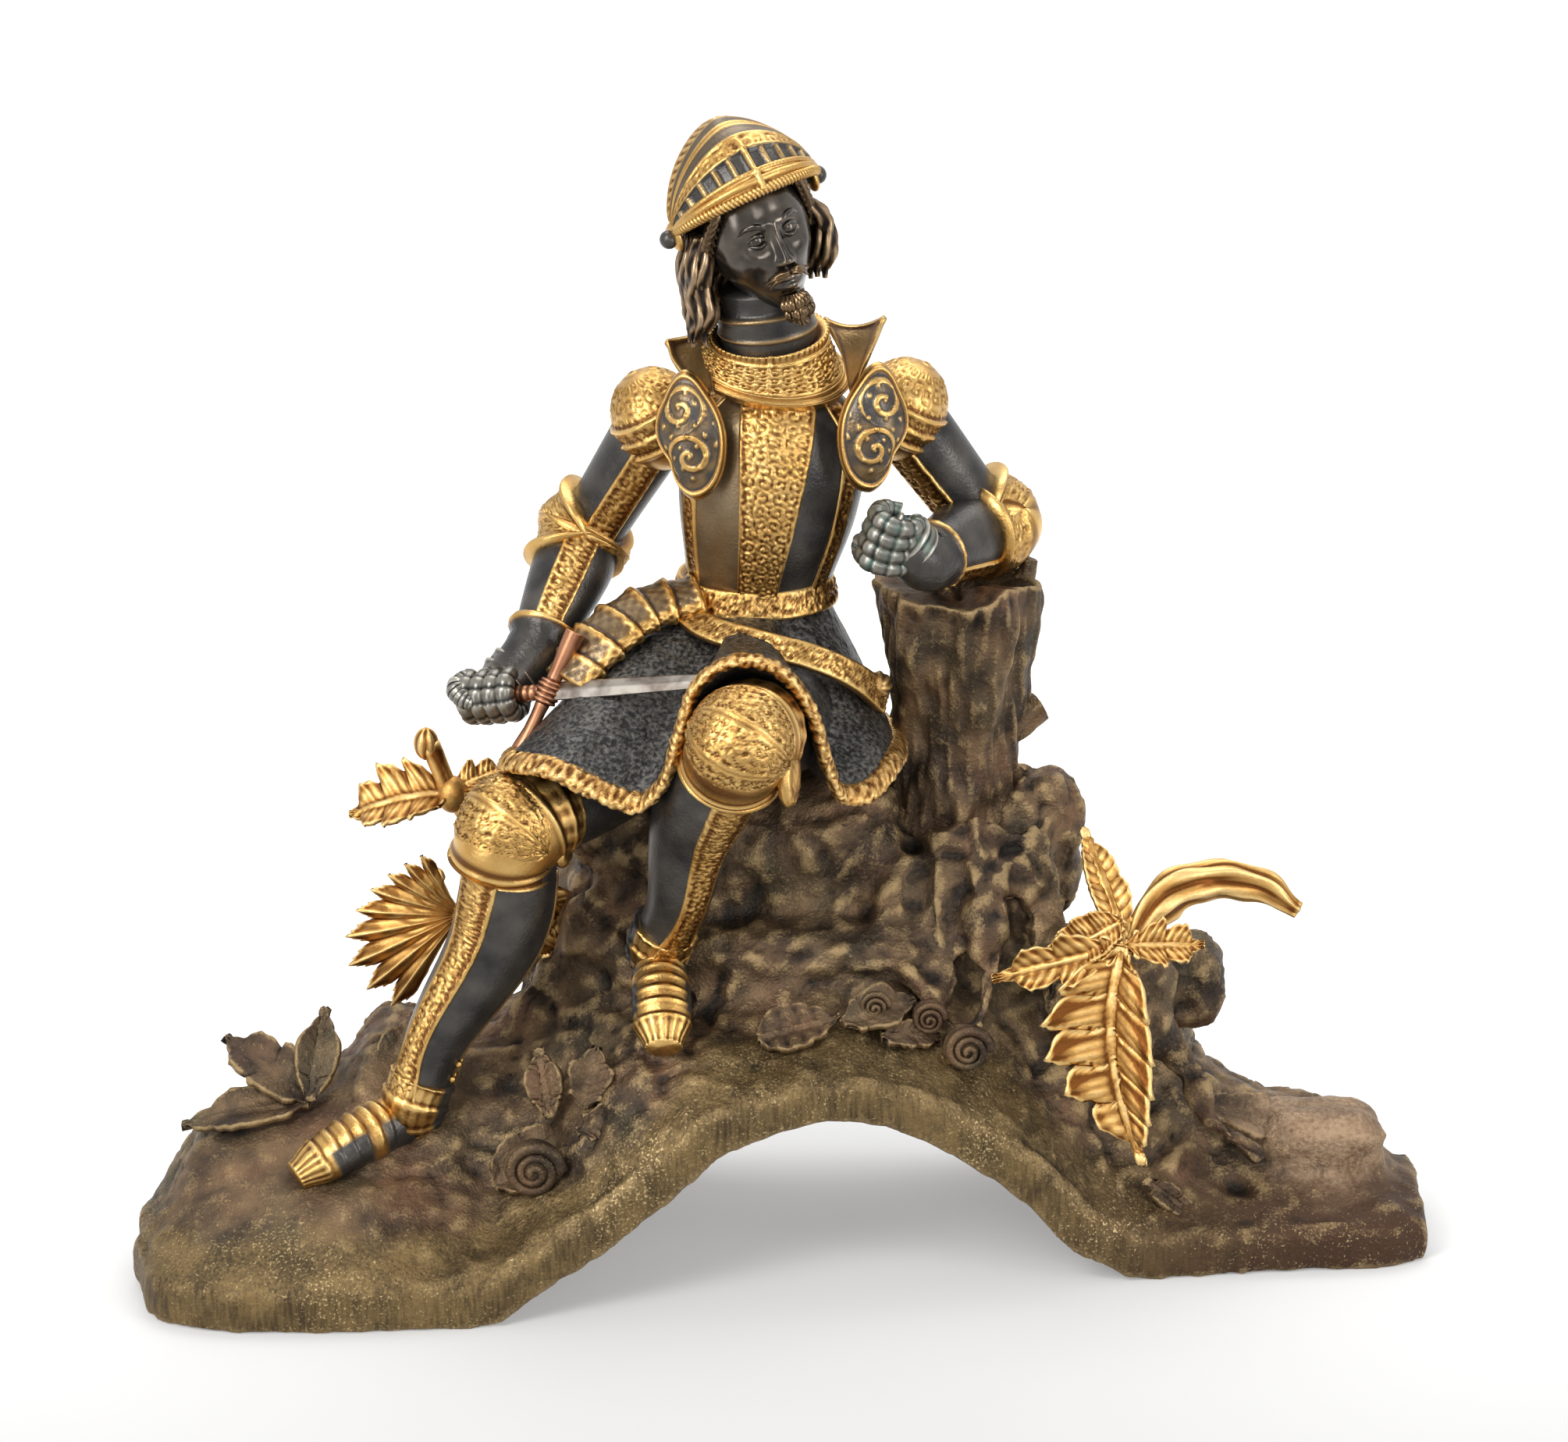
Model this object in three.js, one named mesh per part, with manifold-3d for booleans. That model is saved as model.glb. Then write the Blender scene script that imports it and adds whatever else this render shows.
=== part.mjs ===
// A seated knight in half armour, cast in bronze, patinated and gilt. The knight sits on a rock, the left
// elbow on a tree stump and a drawn sword in the right hand. The rocky base bridges an arch, and two
// gilt sprays of leaves stand in it. Millimetres, +Z up, the knight faces -Y, left of the knight is +X.
import * as THREE from "three";
import { mergeVertices } from "three/addons/utils/BufferGeometryUtils.js";
import Module from "manifold-3d";

const wasm = await Module();
wasm.setup();

// The base, a rocky bridge with a flat foot at each end.
const baseWidth = 406;
const baseDepth = 156;
const archRise = 59;
const archLeft = -92;
const archRight = 112;
const rimHeight = 16.5;
const crownWall = 16;
const lugWidth = 13;
const lugDepth = 12;
const lugGap = 3;

// The figure. Its pose and its carving are shares of its height, written as the millimetres that they
// have in a figure whose helmet stands 356 above the floor.
const figureHeight = 356;
const share = figureHeight / 356;
const at = (x, y, z) => new THREE.Vector3(x, y, z).multiplyScalar(share);

// The sword, and the gap that is left wherever two pieces meet.
const swordLength = 88;
const bladeWidth = 6.4;
const bladeThick = 2.2;
const gripRadius = 2.6;
const guardSpan = 41;
const guardThick = 5;
const pommelRadius = 4.2;
const seatGap = 0.3;

// The gilt leaves.
const leafThick = 1.5;
const stemRadius = 2.4;

const bronze = { color: 0x3a332b, roughness: 0.45, metalness: 0.8 };
const earth = { color: 0x5f4c31, roughness: 0.55, metalness: 0.75 };
const gilt = { color: 0xd8a13c, roughness: 0.28, metalness: 1 };
const steel = { color: 0x8d8272, roughness: 0.35, metalness: 1 };

const degrees = THREE.MathUtils.degToRad;
const smooth = (t, low, high) => THREE.MathUtils.smoothstep(t, low, high);

// A smooth curve through stops of [place, value], level past its ends.
const through = (...stops) => (place) => {
  const last = stops.length - 1;
  if (place <= stops[0][0]) return stops[0][1];
  if (place >= stops[last][0]) return stops[last][1];
  const i = stops.findIndex(([stop]) => stop > place) - 1;
  const slope = (j) =>
    j <= 0 || j >= last ? 0 : (stops[j + 1][1] - stops[j - 1][1]) / (stops[j + 1][0] - stops[j - 1][0]);
  const span = stops[i + 1][0] - stops[i][0];
  const s = (place - stops[i][0]) / span;
  const start = stops[i][1] * (1 + 2 * s) * (1 - s) ** 2 + slope(i) * span * s * (1 - s) ** 2;
  return start + stops[i + 1][1] * s * s * (3 - 2 * s) + slope(i + 1) * span * s * s * (s - 1);
};

// Unevenness of a rough surface at a point, between -1 and 1, the same on every run.
const unevenness = (x, y, z) => {
  const waves = [x * 0.31 + y * 0.17 + 1.3, y * 0.37 - z * 0.23 + 0.7, z * 0.29 + x * 0.13];
  return waves.reduce((sum, wave) => sum + Math.sin(wave), 0) / waves.length;
};

// A closed surface as a solid, turned the right way out.
function solidOf(geometry) {
  geometry.deleteAttribute("normal");
  geometry.deleteAttribute("uv");
  const merged = mergeVertices(geometry, 1e-4);
  const vertProperties = merged.attributes.position.array;
  const triVerts = new Uint32Array(merged.index.array);
  const made = new wasm.Manifold(new wasm.Mesh({ numProp: 3, vertProperties, triVerts }));
  if (made.volume() > 0) return made;
  triVerts.reverse();
  return new wasm.Manifold(new wasm.Mesh({ numProp: 3, vertProperties, triVerts }));
}

// A plain shape as a solid, each of its corners sent to its place by a function.
function shaped(geometry, place) {
  geometry.deleteAttribute("normal");
  geometry.deleteAttribute("uv");
  const merged = mergeVertices(geometry, 1e-5);
  const corners = merged.attributes.position;
  const corner = new THREE.Vector3();
  for (let i = 0; i < corners.count; i++) {
    corner.fromBufferAttribute(corners, i);
    corners.setXYZ(i, ...place(corner).toArray());
  }
  return solidOf(merged);
}

const joined = (...solids) => solids.flat().reduce((whole, solid) => whole.add(solid));
const asFunction = (value) => (typeof value === "function" ? value : () => value);

// A limb, a strap or a lock of hair: a rod bent along a curve, its half-width and half-depth changing on the
// way. Depth lies towards front, and section(turn, t) swells it.
function limb(points, { width, depth = width, front = [0, -1, 0], sides = 8, steps = 4, section = () => 1 }) {
  const path = new THREE.CatmullRomCurve3(points);
  const [across, deep] = [asFunction(width), asFunction(depth)];
  const ahead = new THREE.Vector3(...front).normalize();
  return shaped(new THREE.CylinderGeometry(1, 1, 1, sides, steps), ({ x, y, z }) => {
    const t = 0.5 - y;
    const turn = Math.atan2(x, z);
    const reach = Math.hypot(x, z) * section(turn, t) * share;
    const along = path.getTangentAt(t);
    const forward = ahead.clone().addScaledVector(along, -ahead.dot(along)).normalize();
    const aside = forward.clone().cross(along);
    return path
      .getPointAt(t)
      .addScaledVector(forward, Math.cos(turn) * deep(t) * reach)
      .addScaledVector(aside, Math.sin(turn) * across(t) * reach);
  });
}

// A turn by degrees about x, y and z.
const turnedBy = (...angles) =>
  new THREE.Quaternion().setFromEuler(new THREE.Euler(...angles.map(degrees), "ZYX"));

// A ball or a dome: radii along its own x, y and z, then turned and set at its centre. shape gets a point of
// the unit ball and gives it back moved.
function ball(centre, radii, { turn = turnedBy(0, 0, 0), around = 8, down = 6, shape = (p) => p } = {}) {
  return shaped(new THREE.SphereGeometry(1, around, down), ({ x, y, z }) =>
    shape(new THREE.Vector3(x, -z, y))
      .multiply(new THREE.Vector3(...radii).multiplyScalar(share))
      .applyQuaternion(turn)
      .add(centre),
  );
}

// A rope or a border that closes on itself along points.
const hoop = (points, radius, steps, sides = 4) =>
  solidOf(
    new THREE.TubeGeometry(new THREE.CatmullRomCurve3(points, true), steps, radius * share, sides, true));

// A sheet of leaf: outline(t) is its half-width at t from root to tip. It curls away from its upper side by
// an angle, its halves rise from the midrib by cup, every second step is a tooth, and its tip may veer aside.
function leaf(from, along, upper, { length, width, teeth = 3, curl = 0.4, notch = 0.3, veer = 0 }) {
  const cup = 0.35;
  const ahead = new THREE.Vector3(...along).normalize();
  const up = new THREE.Vector3(...upper);
  up.addScaledVector(ahead, -up.dot(ahead)).normalize();
  const aside = ahead.clone().cross(up);
  const steps = teeth * 2;
  const outline = through([0, 0.16], [0.12, 0.7], [0.4, 1], [0.75, 0.62], [1, 0.05]);
  return shaped(new THREE.BoxGeometry(1, 1, 1, steps, 2, 1), ({ x, y, z }) => {
    const t = x + 0.5;
    const side = y * 2;
    const valley = Math.round(t * steps) % 2;
    const half = (width / 2) * outline(t) * (1 - notch * valley) * share;
    const lean = Math.abs(side) * half * (valley ? 0.1 : 0.55);
    const turned = curl * t;
    const run = ((Math.sin(turned) * length) / curl) * share;
    const drop = (((1 - Math.cos(turned)) * length) / curl) * share;
    return from
      .clone()
      .addScaledVector(ahead, run + lean * Math.cos(turned))
      .addScaledVector(up, cup * half * Math.abs(side) - drop - lean * Math.sin(turned) + z * leafThick)
      .addScaledVector(aside, side * half + veer * share * t * t);
  });
}

// A palmate leaf: one sheet that spreads like a fan between two directions, with a lobe for each length.
function fanLeaf(hub, first, last, upper, lengths) {
  const up = new THREE.Vector3(...upper).normalize();
  const [start, finish] = [first, last].map((way) => new THREE.Vector3(...way).normalize());
  const sweep = start.angleTo(finish);
  const axis = start.clone().cross(finish).normalize();
  const steps = lengths.length * 2;
  return shaped(new THREE.BoxGeometry(1, 1, 1, steps, 2, 1), ({ x, y, z }) => {
    const place = Math.round((x + 0.5) * steps);
    const lobe = Math.min(Math.floor(place / 2), lengths.length - 1);
    const reach = (y + 0.5) * lengths[lobe] * (place % 2 ? 1 : 0.66) * share + 1;
    return hub
      .clone()
      .addScaledVector(start.clone().applyAxisAngle(axis, (sweep * place) / steps), reach)
      .addScaledVector(up, (place % 2 ? 0.14 : -0.02) * reach - (reach * reach) / 180 + z * leafThick);
  });
}

// Places on the figure that its pieces share.
const hips = at(-9, 36, 170);
const waist = at(-9, 36, 200);
const chest = at(-4, 33, 242);
const collar = at(-1, 34, 274);
const headCentre = at(-8, 24, 318);
const looks = new THREE.Vector3(0.38, -0.92, 0.06).normalize();
const crown = new THREE.Vector3(-0.34, 0.03, 0.94);
const rightHip = at(-26, 32, 166);
const leftHip = at(4, 32, 166);
const rightKnee = at(-83, -22, 144.5);
const leftKnee = at(-13, -48, 181);
const rightAnkle = at(-115, -26, 56);
const leftAnkle = at(-39, -10, 102);
const rightToe = at(-151, -43, 38);
const leftToe = at(-37, -42, 80);
const rightShoulder = at(-38, 36, 260);
const leftShoulder = at(35, 36, 263);
const rightElbow = at(-62, 48, 218);
const leftElbow = at(64, 44, 222);
const rightWrist = at(-77, 18, 190);
const leftWrist = at(43, 7, 222);
const leftFist = at(32, -1, 231);
const pommel = at(-100, 11, 176);
const bladeWay = new THREE.Vector3(76, -36, 17).normalize();
const rightSole = at(-133, -35, 37);
const leftSole = at(-38, -27, 83);
const stumpTop = at(54, 30, 208);

// The sword from its pommel: swordAt(0) is the pommel's end and swordAt(1) the point.
const swordAt = (t) => pommel.clone().addScaledVector(bladeWay, t * swordLength);
const guardPlace = 0.35;
const rightFist = swordAt(0.13);

// The base's plan: the front and back edges of the bridge, from its left end to its right end.
const end = baseWidth / 2;
const front = baseDepth / -2;
const back = baseDepth / 2;
const alongBase = (part) => part * end;
const frontLine = through(
  [-end, front * 0.5],
  [alongBase(-0.965), front * 0.8],
  [alongBase(-0.9), front * 0.95],
  [alongBase(-0.78), front],
  [alongBase(-0.5), front * 0.96],
  [alongBase(-0.24), front * 0.82],
  [alongBase(0.1), front * 0.67],
  [alongBase(0.4), front * 0.54],
  [alongBase(0.7), front * 0.42],
  [alongBase(0.94), front * 0.34],
  [end, front * 0.26],
);
const backLine = through(
  [-end, back * -0.22],
  [alongBase(-0.95), back * 0.18],
  [alongBase(-0.82), back * 0.5],
  [alongBase(-0.55), back * 0.8],
  [alongBase(-0.2), back * 0.96],
  [alongBase(0.1), back],
  [alongBase(0.5), back * 0.92],
  [alongBase(0.85), back * 0.7],
  [end, back * 0.42],
);
const frontEdge = (x) => Math.max(front, frontLine(x));
const backEdge = (x) => Math.min(back, backLine(x));

// The underside of the arch: steep to the left of its crown, and easing into a low step on the right.
const archShape = through(
  [0, 0], [0.09, 0.17], [0.2, 0.4], [0.3, 0.68], [0.37, 0.87], [0.53, 1],
  [0.65, 0.88], [0.75, 0.66], [0.82, 0.46], [0.885, 0.2], [0.94, 0.09], [1, 0],
);
const underside = (x) => archRise * archShape((x - archLeft) / (archRight - archLeft));

// The rim keeps its thickness square to the arch, so where the arch is steep it stands taller.
function rimTop(x) {
  const over = [-0.9, -0.5, 0, 0.5, 0.9].map(
    (lean) => underside(x + lean * crownWall) + crownWall * Math.sqrt(1 - lean ** 2));
  return Math.max(rimHeight, ...over);
}

// The ridge behind the rim, and mounds that lift the ground to the soles of the two feet.
const ridge = through(
  [alongBase(-1), 20], [alongBase(-0.9), 43], [alongBase(-0.8), 51], [alongBase(-0.7), 57],
  [alongBase(-0.64), 67], [alongBase(-0.56), 68], [alongBase(-0.44), 70], [alongBase(-0.36), 77],
  [alongBase(-0.28), 90], [alongBase(-0.12), 100], [alongBase(0.3), 103], [alongBase(0.45), 92],
  [alongBase(0.58), 74], [alongBase(0.68), 47], [alongBase(0.75), 39], [alongBase(0.87), 34],
  [alongBase(0.94), 24], [alongBase(1), 17],
);
const mounds = [
  [rightSole, 27],
  [leftSole, 24],
];

function ground(x, y) {
  const across = (y - frontEdge(x)) / (backEdge(x) - frontEdge(x));
  const rim = rimTop(x);
  const rise = Math.min(smooth(across, 0, 0.6), smooth(1 - across, 0, 0.25));
  const hill = rim + Math.max(ridge(x) * share - rim, 0) * rise + 2 * rise * unevenness(x * 2, y, 0);
  return mounds.reduce((level, [top, reach]) => {
    const near = Math.exp(-(((x - top.x) ** 2 + (y - top.y) ** 2) / (reach * share) ** 2));
    return level + Math.max(top.z - level, 0) * near * smooth(across, 0, 0.1);
  }, hill);
}

function bridge() {
  return shaped(new THREE.BoxGeometry(1, 1, 1, 28, 7, 1), (corner) => {
    const along = corner.x * 2;
    const x = end * (along + 0.1 * Math.sin(Math.PI * along));
    const y = THREE.MathUtils.lerp(frontEdge(x), backEdge(x), corner.y + 0.5);
    return new THREE.Vector3(x, y, corner.z < 0 ? 0 : ground(x, y));
  });
}

// A boulder: a ball squared off a little, with uneven sides.
const boulder = (centre, radii, turn, around = 8, down = 6) =>
  ball(centre, radii, {
    turn,
    around,
    down,
    shape: (p) => {
      const square = 0.3 * (Math.abs(p.x * p.y) + Math.abs(p.x * p.z) + Math.abs(p.y * p.z));
      const rough = unevenness(p.x * 9 + centre.x, p.y * 9, p.z * 9 + centre.y);
      return p.multiplyScalar(0.97 + square + 0.12 * rough);
    },
  });

// The stump: fluted bark that spreads into roots, and a ragged top under the knight's elbow.
function stump() {
  const trunk = limb([at(50, 36, 92), at(52, 36, 130), at(54, 34, 170), stumpTop], {
    width: through([0, 31], [0.3, 23], [0.6, 20], [1, 25]),
    depth: through([0, 30], [0.3, 22], [0.6, 19], [1, 23]),
    sides: 13,
    steps: 5,
    section: (turn, t) => 1 + 0.08 * Math.cos(turn * 5 + t * 2.5) + 0.04 * Math.sin(turn * 9 + t * 9),
  });
  const splinter = limb([at(66, 40, 196), at(75, 42, 208), at(77, 42, 214)], {
    width: through([0, 9], [1, 3]), steps: 2, sides: 5,
  });
  const snag = limb([at(62, 34, 158), at(74, 36, 161), at(81, 38, 165)], {
    width: through([0, 8], [1, 4.5]), steps: 1, sides: 6,
  });
  const roots = [
    [at(60, 14, 134), at(63, -4, 112), at(64, -18, 94), at(60, -30, 80)],
    [at(38, 14, 122), at(34, -2, 104), at(42, -18, 92), at(54, -28, 80)],
    [at(74, 20, 128), at(80, 4, 108), at(83, -8, 92), at(85, -18, 76)],
  ].map((points) => limb(points, { width: through([0, 9], [0.6, 5.5], [1, 3]), sides: 5, steps: 4 }));
  return joined(trunk, splinter, snag, roots);
}

// Leaves, two coiled tendrils and a fallen log, cast in one with the ground.
function undergrowth() {
  const onGround = (x, y, up = 0) => {
    const place = at(x, y, 0);
    return place.setZ(ground(place.x, place.y) + up * share);
  };
  const ivy = onGround(-148, -18);
  const leaves = [
    leaf(ivy, [-0.8, 0.42, 0.6], [0, -0.6, 1], { length: 37, width: 22, notch: 0.4 }),
    leaf(ivy, [0.14, 0.45, 0.9], [0, -1, 0.4], { length: 31, width: 16, teeth: 2 }),
    leaf(ivy, [-1, -0.05, -0.05], [0, -0.6, 1], { length: 42, width: 18, teeth: 2 }),
    leaf(onGround(-88, -42), [0.75, 0.1, 0.7], [-0.3, -1, 0.7], { length: 25, width: 18, teeth: 2 }),
    leaf(onGround(-62, -40), [0.2, 0.1, 0.9], [0, -1, 0.5], { length: 20, width: 14, teeth: 2 }),
    leaf(onGround(-8, -35), [1, 0.1, 0.3], [0, -1, 0.9], { length: 29, width: 17, teeth: 2 }),
    leaf(onGround(18, -30), [1, 0.1, 0.45], [0, -1, 0.9], { length: 26, width: 15, teeth: 2, curl: 0.8 }),
    leaf(onGround(132, 2), [0.9, -0.1, -0.2], [0.2, -0.6, 1], { length: 42, width: 18 }),
  ];
  const coil = (centre, size) => {
    const turns = Array.from({ length: 8 }, (_, i) => {
      const reach = size * (1 - i / 9);
      return centre.clone().add(at(Math.cos(i * 1.2) * reach, i * -0.5, Math.sin(i * 1.2) * reach));
    });
    return limb(turns, { width: through([0, size * 0.36], [1, size * 0.22]), sides: 4, steps: 10 });
  };
  const log = limb([at(-98, 6, 58), at(-84, 10, 68), at(-68, 14, 82), at(-48, 14, 98)], {
    width: through([0, 6], [0.4, 9], [1, 14]),
    sides: 7,
    section: (turn) => 1 + 0.08 * Math.cos(turn * 5),
  });
  return joined(leaves, coil(onGround(-77, -50, 5), 8), coil(onGround(57, -30, 3), 6.5), log);
}

function groundwork() {
  const level = turnedBy(0, 0, 0);
  const seat = boulder(at(-10, 36, 117), [55, 33, 32], level, 13, 7);
  const stones = [
    boulder(at(80, 36, 118), [15, 15, 26], turnedBy(0, 6, 20)),
    boulder(at(126, 14, 81), [14, 14, 15], level, 9, 6),
    boulder(at(-54, 16, 92), [17, 14, 20], turnedBy(0, 20, 0)),
    boulder(at(4, 2, 92), [52, 16, 14], level, 9, 5),
    boulder(at(104, 0, 82), [20, 17, 20], level),
    boulder(at(-120, 26, 52), [15, 12, 16], turnedBy(0, 12, 10)),
    boulder(at(168, 7, 29), [22, 15, 13], turnedBy(0, 14, 0)),
    boulder(at(40, 60, 92), [34, 14, 34], level),
    boulder(at(-60, 48, 84), [26, 20, 22], level),
  ];
  return joined(bridge(), seat, stones, stump(), undergrowth());
}

// The base is cut clear of the arch, and keeps one lug that hangs from the arch's slope.
function base() {
  const lugPlace = THREE.MathUtils.lerp(archLeft, archRight, 0.775);
  const lug = shaped(new THREE.BoxGeometry(lugWidth, lugDepth, archRise), (corner) =>
    corner.clone().add(new THREE.Vector3(lugPlace, back * 0.45, archRise / 2 + lugGap)));
  const hollow = shaped(new THREE.BoxGeometry(1, 1, 1, 22, 1, 1), ({ x, y, z }) => {
    const place = THREE.MathUtils.lerp(archLeft, archRight, x + 0.5);
    return new THREE.Vector3(place, y * 2 * baseDepth, z < 0 ? -archRise : underside(place));
  });
  const below = shaped(new THREE.BoxGeometry(baseWidth * 2, baseDepth * 2, archRise), (corner) =>
    corner.clone().add(new THREE.Vector3(0, 0, archRise / -2)));
  return groundwork().subtract(hollow).subtract(below).add(lug);
}

// The cuirass, with a ridge down its front, and the gorget round the neck.
function torso() {
  const cuirass = limb([hips, waist, chest, collar], {
    width: through([0, 24], [0.28, 21.5], [0.62, 28], [0.85, 28], [1, 17]),
    depth: through([0, 22], [0.28, 17], [0.6, 23], [0.85, 21], [1, 13]),
    sides: 12,
    steps: 6,
    section: (turn) => 1 + 0.07 * Math.max(0, Math.cos(turn)) ** 8,
  });
  const gorget = limb([at(-3, 31, 264), at(-1, 31, 276), at(0, 30, 284), at(0, 29, 292)], {
    width: through([0, 29], [0.35, 25.5], [0.65, 16], [1, 14.5]),
    depth: through([0, 21.5], [0.35, 20], [0.65, 14], [1, 13]),
    sides: 12,
    steps: 3,
  });
  const neck = limb([at(-1, 30, 282), headCentre], { width: through([0, 12.5], [1, 14]), steps: 1 });
  return joined(cuirass, gorget, neck);
}

// The head's own axes: aside, behind and above, and a place on it.
const behind = looks.clone().negate();
const above = crown.clone().addScaledVector(looks, -crown.dot(looks)).normalize();
const headTurn = new THREE.Quaternion().setFromRotationMatrix(
  new THREE.Matrix4().makeBasis(behind.clone().cross(above), behind, above));
const onHead = (x, y, z) => at(x, y, z).applyQuaternion(headTurn).add(headCentre);

function head() {
  const skull = ball(onHead(0, 0, 4.5), [16.5, 19.5, 26], {
    turn: headTurn,
    around: 10,
    down: 8,
    shape: (p) => {
      const jaw = smooth(-p.z, 0, 1);
      p.x *= 1 - 0.26 * jaw;
      p.y -= 0.1 * jaw;
      return p;
    },
  });
  const nose = limb([onHead(0, -17, 10), onHead(0, -21.3, 3), onHead(0, -23, -0.5), onHead(0, -19, -2.5)], {
    width: through([0, 2], [0.7, 3], [1, 2.4]), sides: 5, steps: 3,
  });
  const moustache = limb([onHead(-8.5, -16.5, -9), onHead(0, -21.3, -5.5), onHead(8.5, -16.5, -9)], {
    width: through([0, 0.8], [0.5, 2.2], [1, 0.8]), sides: 4, steps: 4,
  });
  const beard = ball(onHead(0, -16, -18.5), [4.4, 5, 6], { turn: headTurn, around: 6, down: 4 });
  const locks = [
    [[-18, -1, 6], [-23, 2, -4], [-23, 4, -14], [-28, 6, -25]],
    [[-12, 13, 4], [-18, 19, -6], [-18, 20, -17], [-24, 22, -27]],
    [[5, 14, 4], [6, 20, -8], [5, 20, -19], [7, 20, -30]],
    [[14, 3, 6], [20, 5, -5], [18, 5, -13], [24, 4, -19]],
  ].map((points) =>
    limb(points.map((p) => onHead(...p)), {
      width: through([0, 5], [0.4, 8], [0.75, 6], [1, 2]), sides: 5, steps: 3,
    }));
  return joined(skull, nose, moustache, beard, locks);
}

// The open helmet: a pointed skull with a comb. Its visor is raised on two pivots, and its roped rim climbs
// from them over the brow.
const pivots = { aside: 24.6, behind: 2.6, above: 12.2 };
const visorLift = THREE.MathUtils.degToRad(20);

function helmet() {
  const pointed = (p) => {
    p.z *= 1 + 0.22 * Math.max(0, 1 - Math.hypot(p.x, p.y)) ** 1.2;
    return p;
  };
  const dome = ball(onHead(0, 1.5, 10), [23.5, 26, 24.5], {
    turn: headTurn, around: 12, down: 8, shape: pointed,
  });
  const below = shaped(new THREE.BoxGeometry(90, 90, 60), ({ x, y, z }) => onHead(x, y, z - 21));
  const onVisor = (x, ahead, down) => onHead(
    x,
    pivots.behind - ahead * Math.cos(visorLift) - down * Math.sin(visorLift),
    pivots.above + ahead * Math.sin(visorLift) - down * Math.cos(visorLift));
  const open = shaped(new THREE.BoxGeometry(90, 60, 40), ({ x, y, z }) => onVisor(x, y + 30, z + 20));
  const comb = ball(onHead(0, 4, 14), [2.4, 26, 27.5], { turn: headTurn, around: 4 });
  const brow = hoop(
    Array.from({ length: 12 }, (_, i) => {
      const turn = (i / 12) * Math.PI * 2;
      const aside = Math.sin(turn) * pivots.aside;
      const ahead = Math.cos(turn) * 25.5;
      return ahead > -1 ? onVisor(aside, ahead, 0) : onHead(aside, pivots.behind - ahead, pivots.above - 2);
    }), 2.2, 12);
  return joined(dome.subtract(below).subtract(open), comb, brow);
}

// One shoulder: its dome of lames, the rounded guard over the armpit and the upright flange beside the neck.
function shoulder(side, joint, guardCentre, brink) {
  const dome = ball(joint.clone().add(at(side, 0, -1)), [15, 18, 17], {
    turn: turnedBy(0, side * 30, 0),
    around: 10,
    down: 7,
    shape: (p) => p.multiplyScalar(1 + 0.035 * Math.cos(Math.acos(p.z) * 7)),
  });
  const guard = ball(guardCentre, [12.2, 6, 20], { turn: turnedBy(-10, side * 5, side * 20), around: 8 });
  const foot = guardCentre.clone().add(at(side * -5, 1, 13));
  const flange = limb([foot, foot.clone().lerp(brink, 0.5).add(at(0, 3, -1)), brink], {
    width: through([0, 2.5], [0.5, 5], [1, 7.6]), depth: 2.2, front: [side * 0.2, -1, 0.4], sides: 6,
  });
  return joined(dome, guard, flange);
}

// One arm: plated upper arm, winged elbow cop, forearm, the cuff of the glove and the closed hand with its
// fingers side by side along an axis.
function arm(joint, elbow, wrist, hand, fingers, copFront) {
  const upper = limb([joint, elbow], { width: through([0, 12], [1, 10.5]), steps: 1 });
  const fore = limb([elbow, wrist], {
    width: through([0, 12.5], [0.3, 13.2], [0.7, 10.5], [1, 8.5]), steps: 2,
  });
  const cop = limb([joint.clone().lerp(elbow, 0.76), elbow, elbow.clone().lerp(wrist, 0.3)], {
    width: through([0, 13.5], [0.2, 12.6], [0.5, 15.5], [0.8, 13.8], [1, 14.8]),
    front: copFront,
    section: (turn, t) =>
      1 + 0.22 * Math.max(0, Math.cos(turn)) ** 3 * Math.sin(Math.PI * Math.min(1, t * 1.6)),
  });
  const cuff = limb([elbow.clone().lerp(wrist, 0.86), wrist, hand], {
    width: through([0, 10.5], [0.3, 10], [1, 7]), steps: 1,
  });
  const axis = new THREE.Vector3(...fingers).normalize();
  const fist = ball(hand, [10.5, 9.2, 9.2], {
    turn: new THREE.Quaternion().setFromUnitVectors(new THREE.Vector3(1, 0, 0), axis),
    around: 9,
    down: 6,
    shape: (p) => p.multiplyScalar(1 + 0.05 * Math.cos(p.x * 11)),
  });
  return joined(upper, fore, cop, cuff, fist);
}

// The hem of the skirt: it dips between the knees, lifts over the left one and falls to the rock behind.
const hem = [
  [-85, -24, 165], [-72, -37, 167], [-58, -42, 162], [-45, -44, 158], [-37, -46, 166], [-32, -47, 182],
  [-27, -45, 197], [-16, -42, 204], [-2, -40, 201], [8, -38, 188], [13, -35, 170], [18, -31, 157],
  [27, -26, 156], [34, -14, 160], [37, 4, 160], [36, 26, 157], [30, 50, 154], [10, 66, 152],
  [-20, 68, 151], [-48, 58, 149], [-68, 36, 150], [-79, 10, 156], [-86, -10, 162],
].map((point) => at(...point));

// A point of the cloth, pushed out to the skin of a round limb where it would lie inside it.
function drapedOver(point, [from, to, radius]) {
  const nearest = new THREE.Line3(from, to).closestPointToPoint(point, true, new THREE.Vector3());
  const away = point.clone().sub(nearest);
  return away.length() < radius * share ? nearest.addScaledVector(away.normalize(), radius * share) : point;
}

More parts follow.
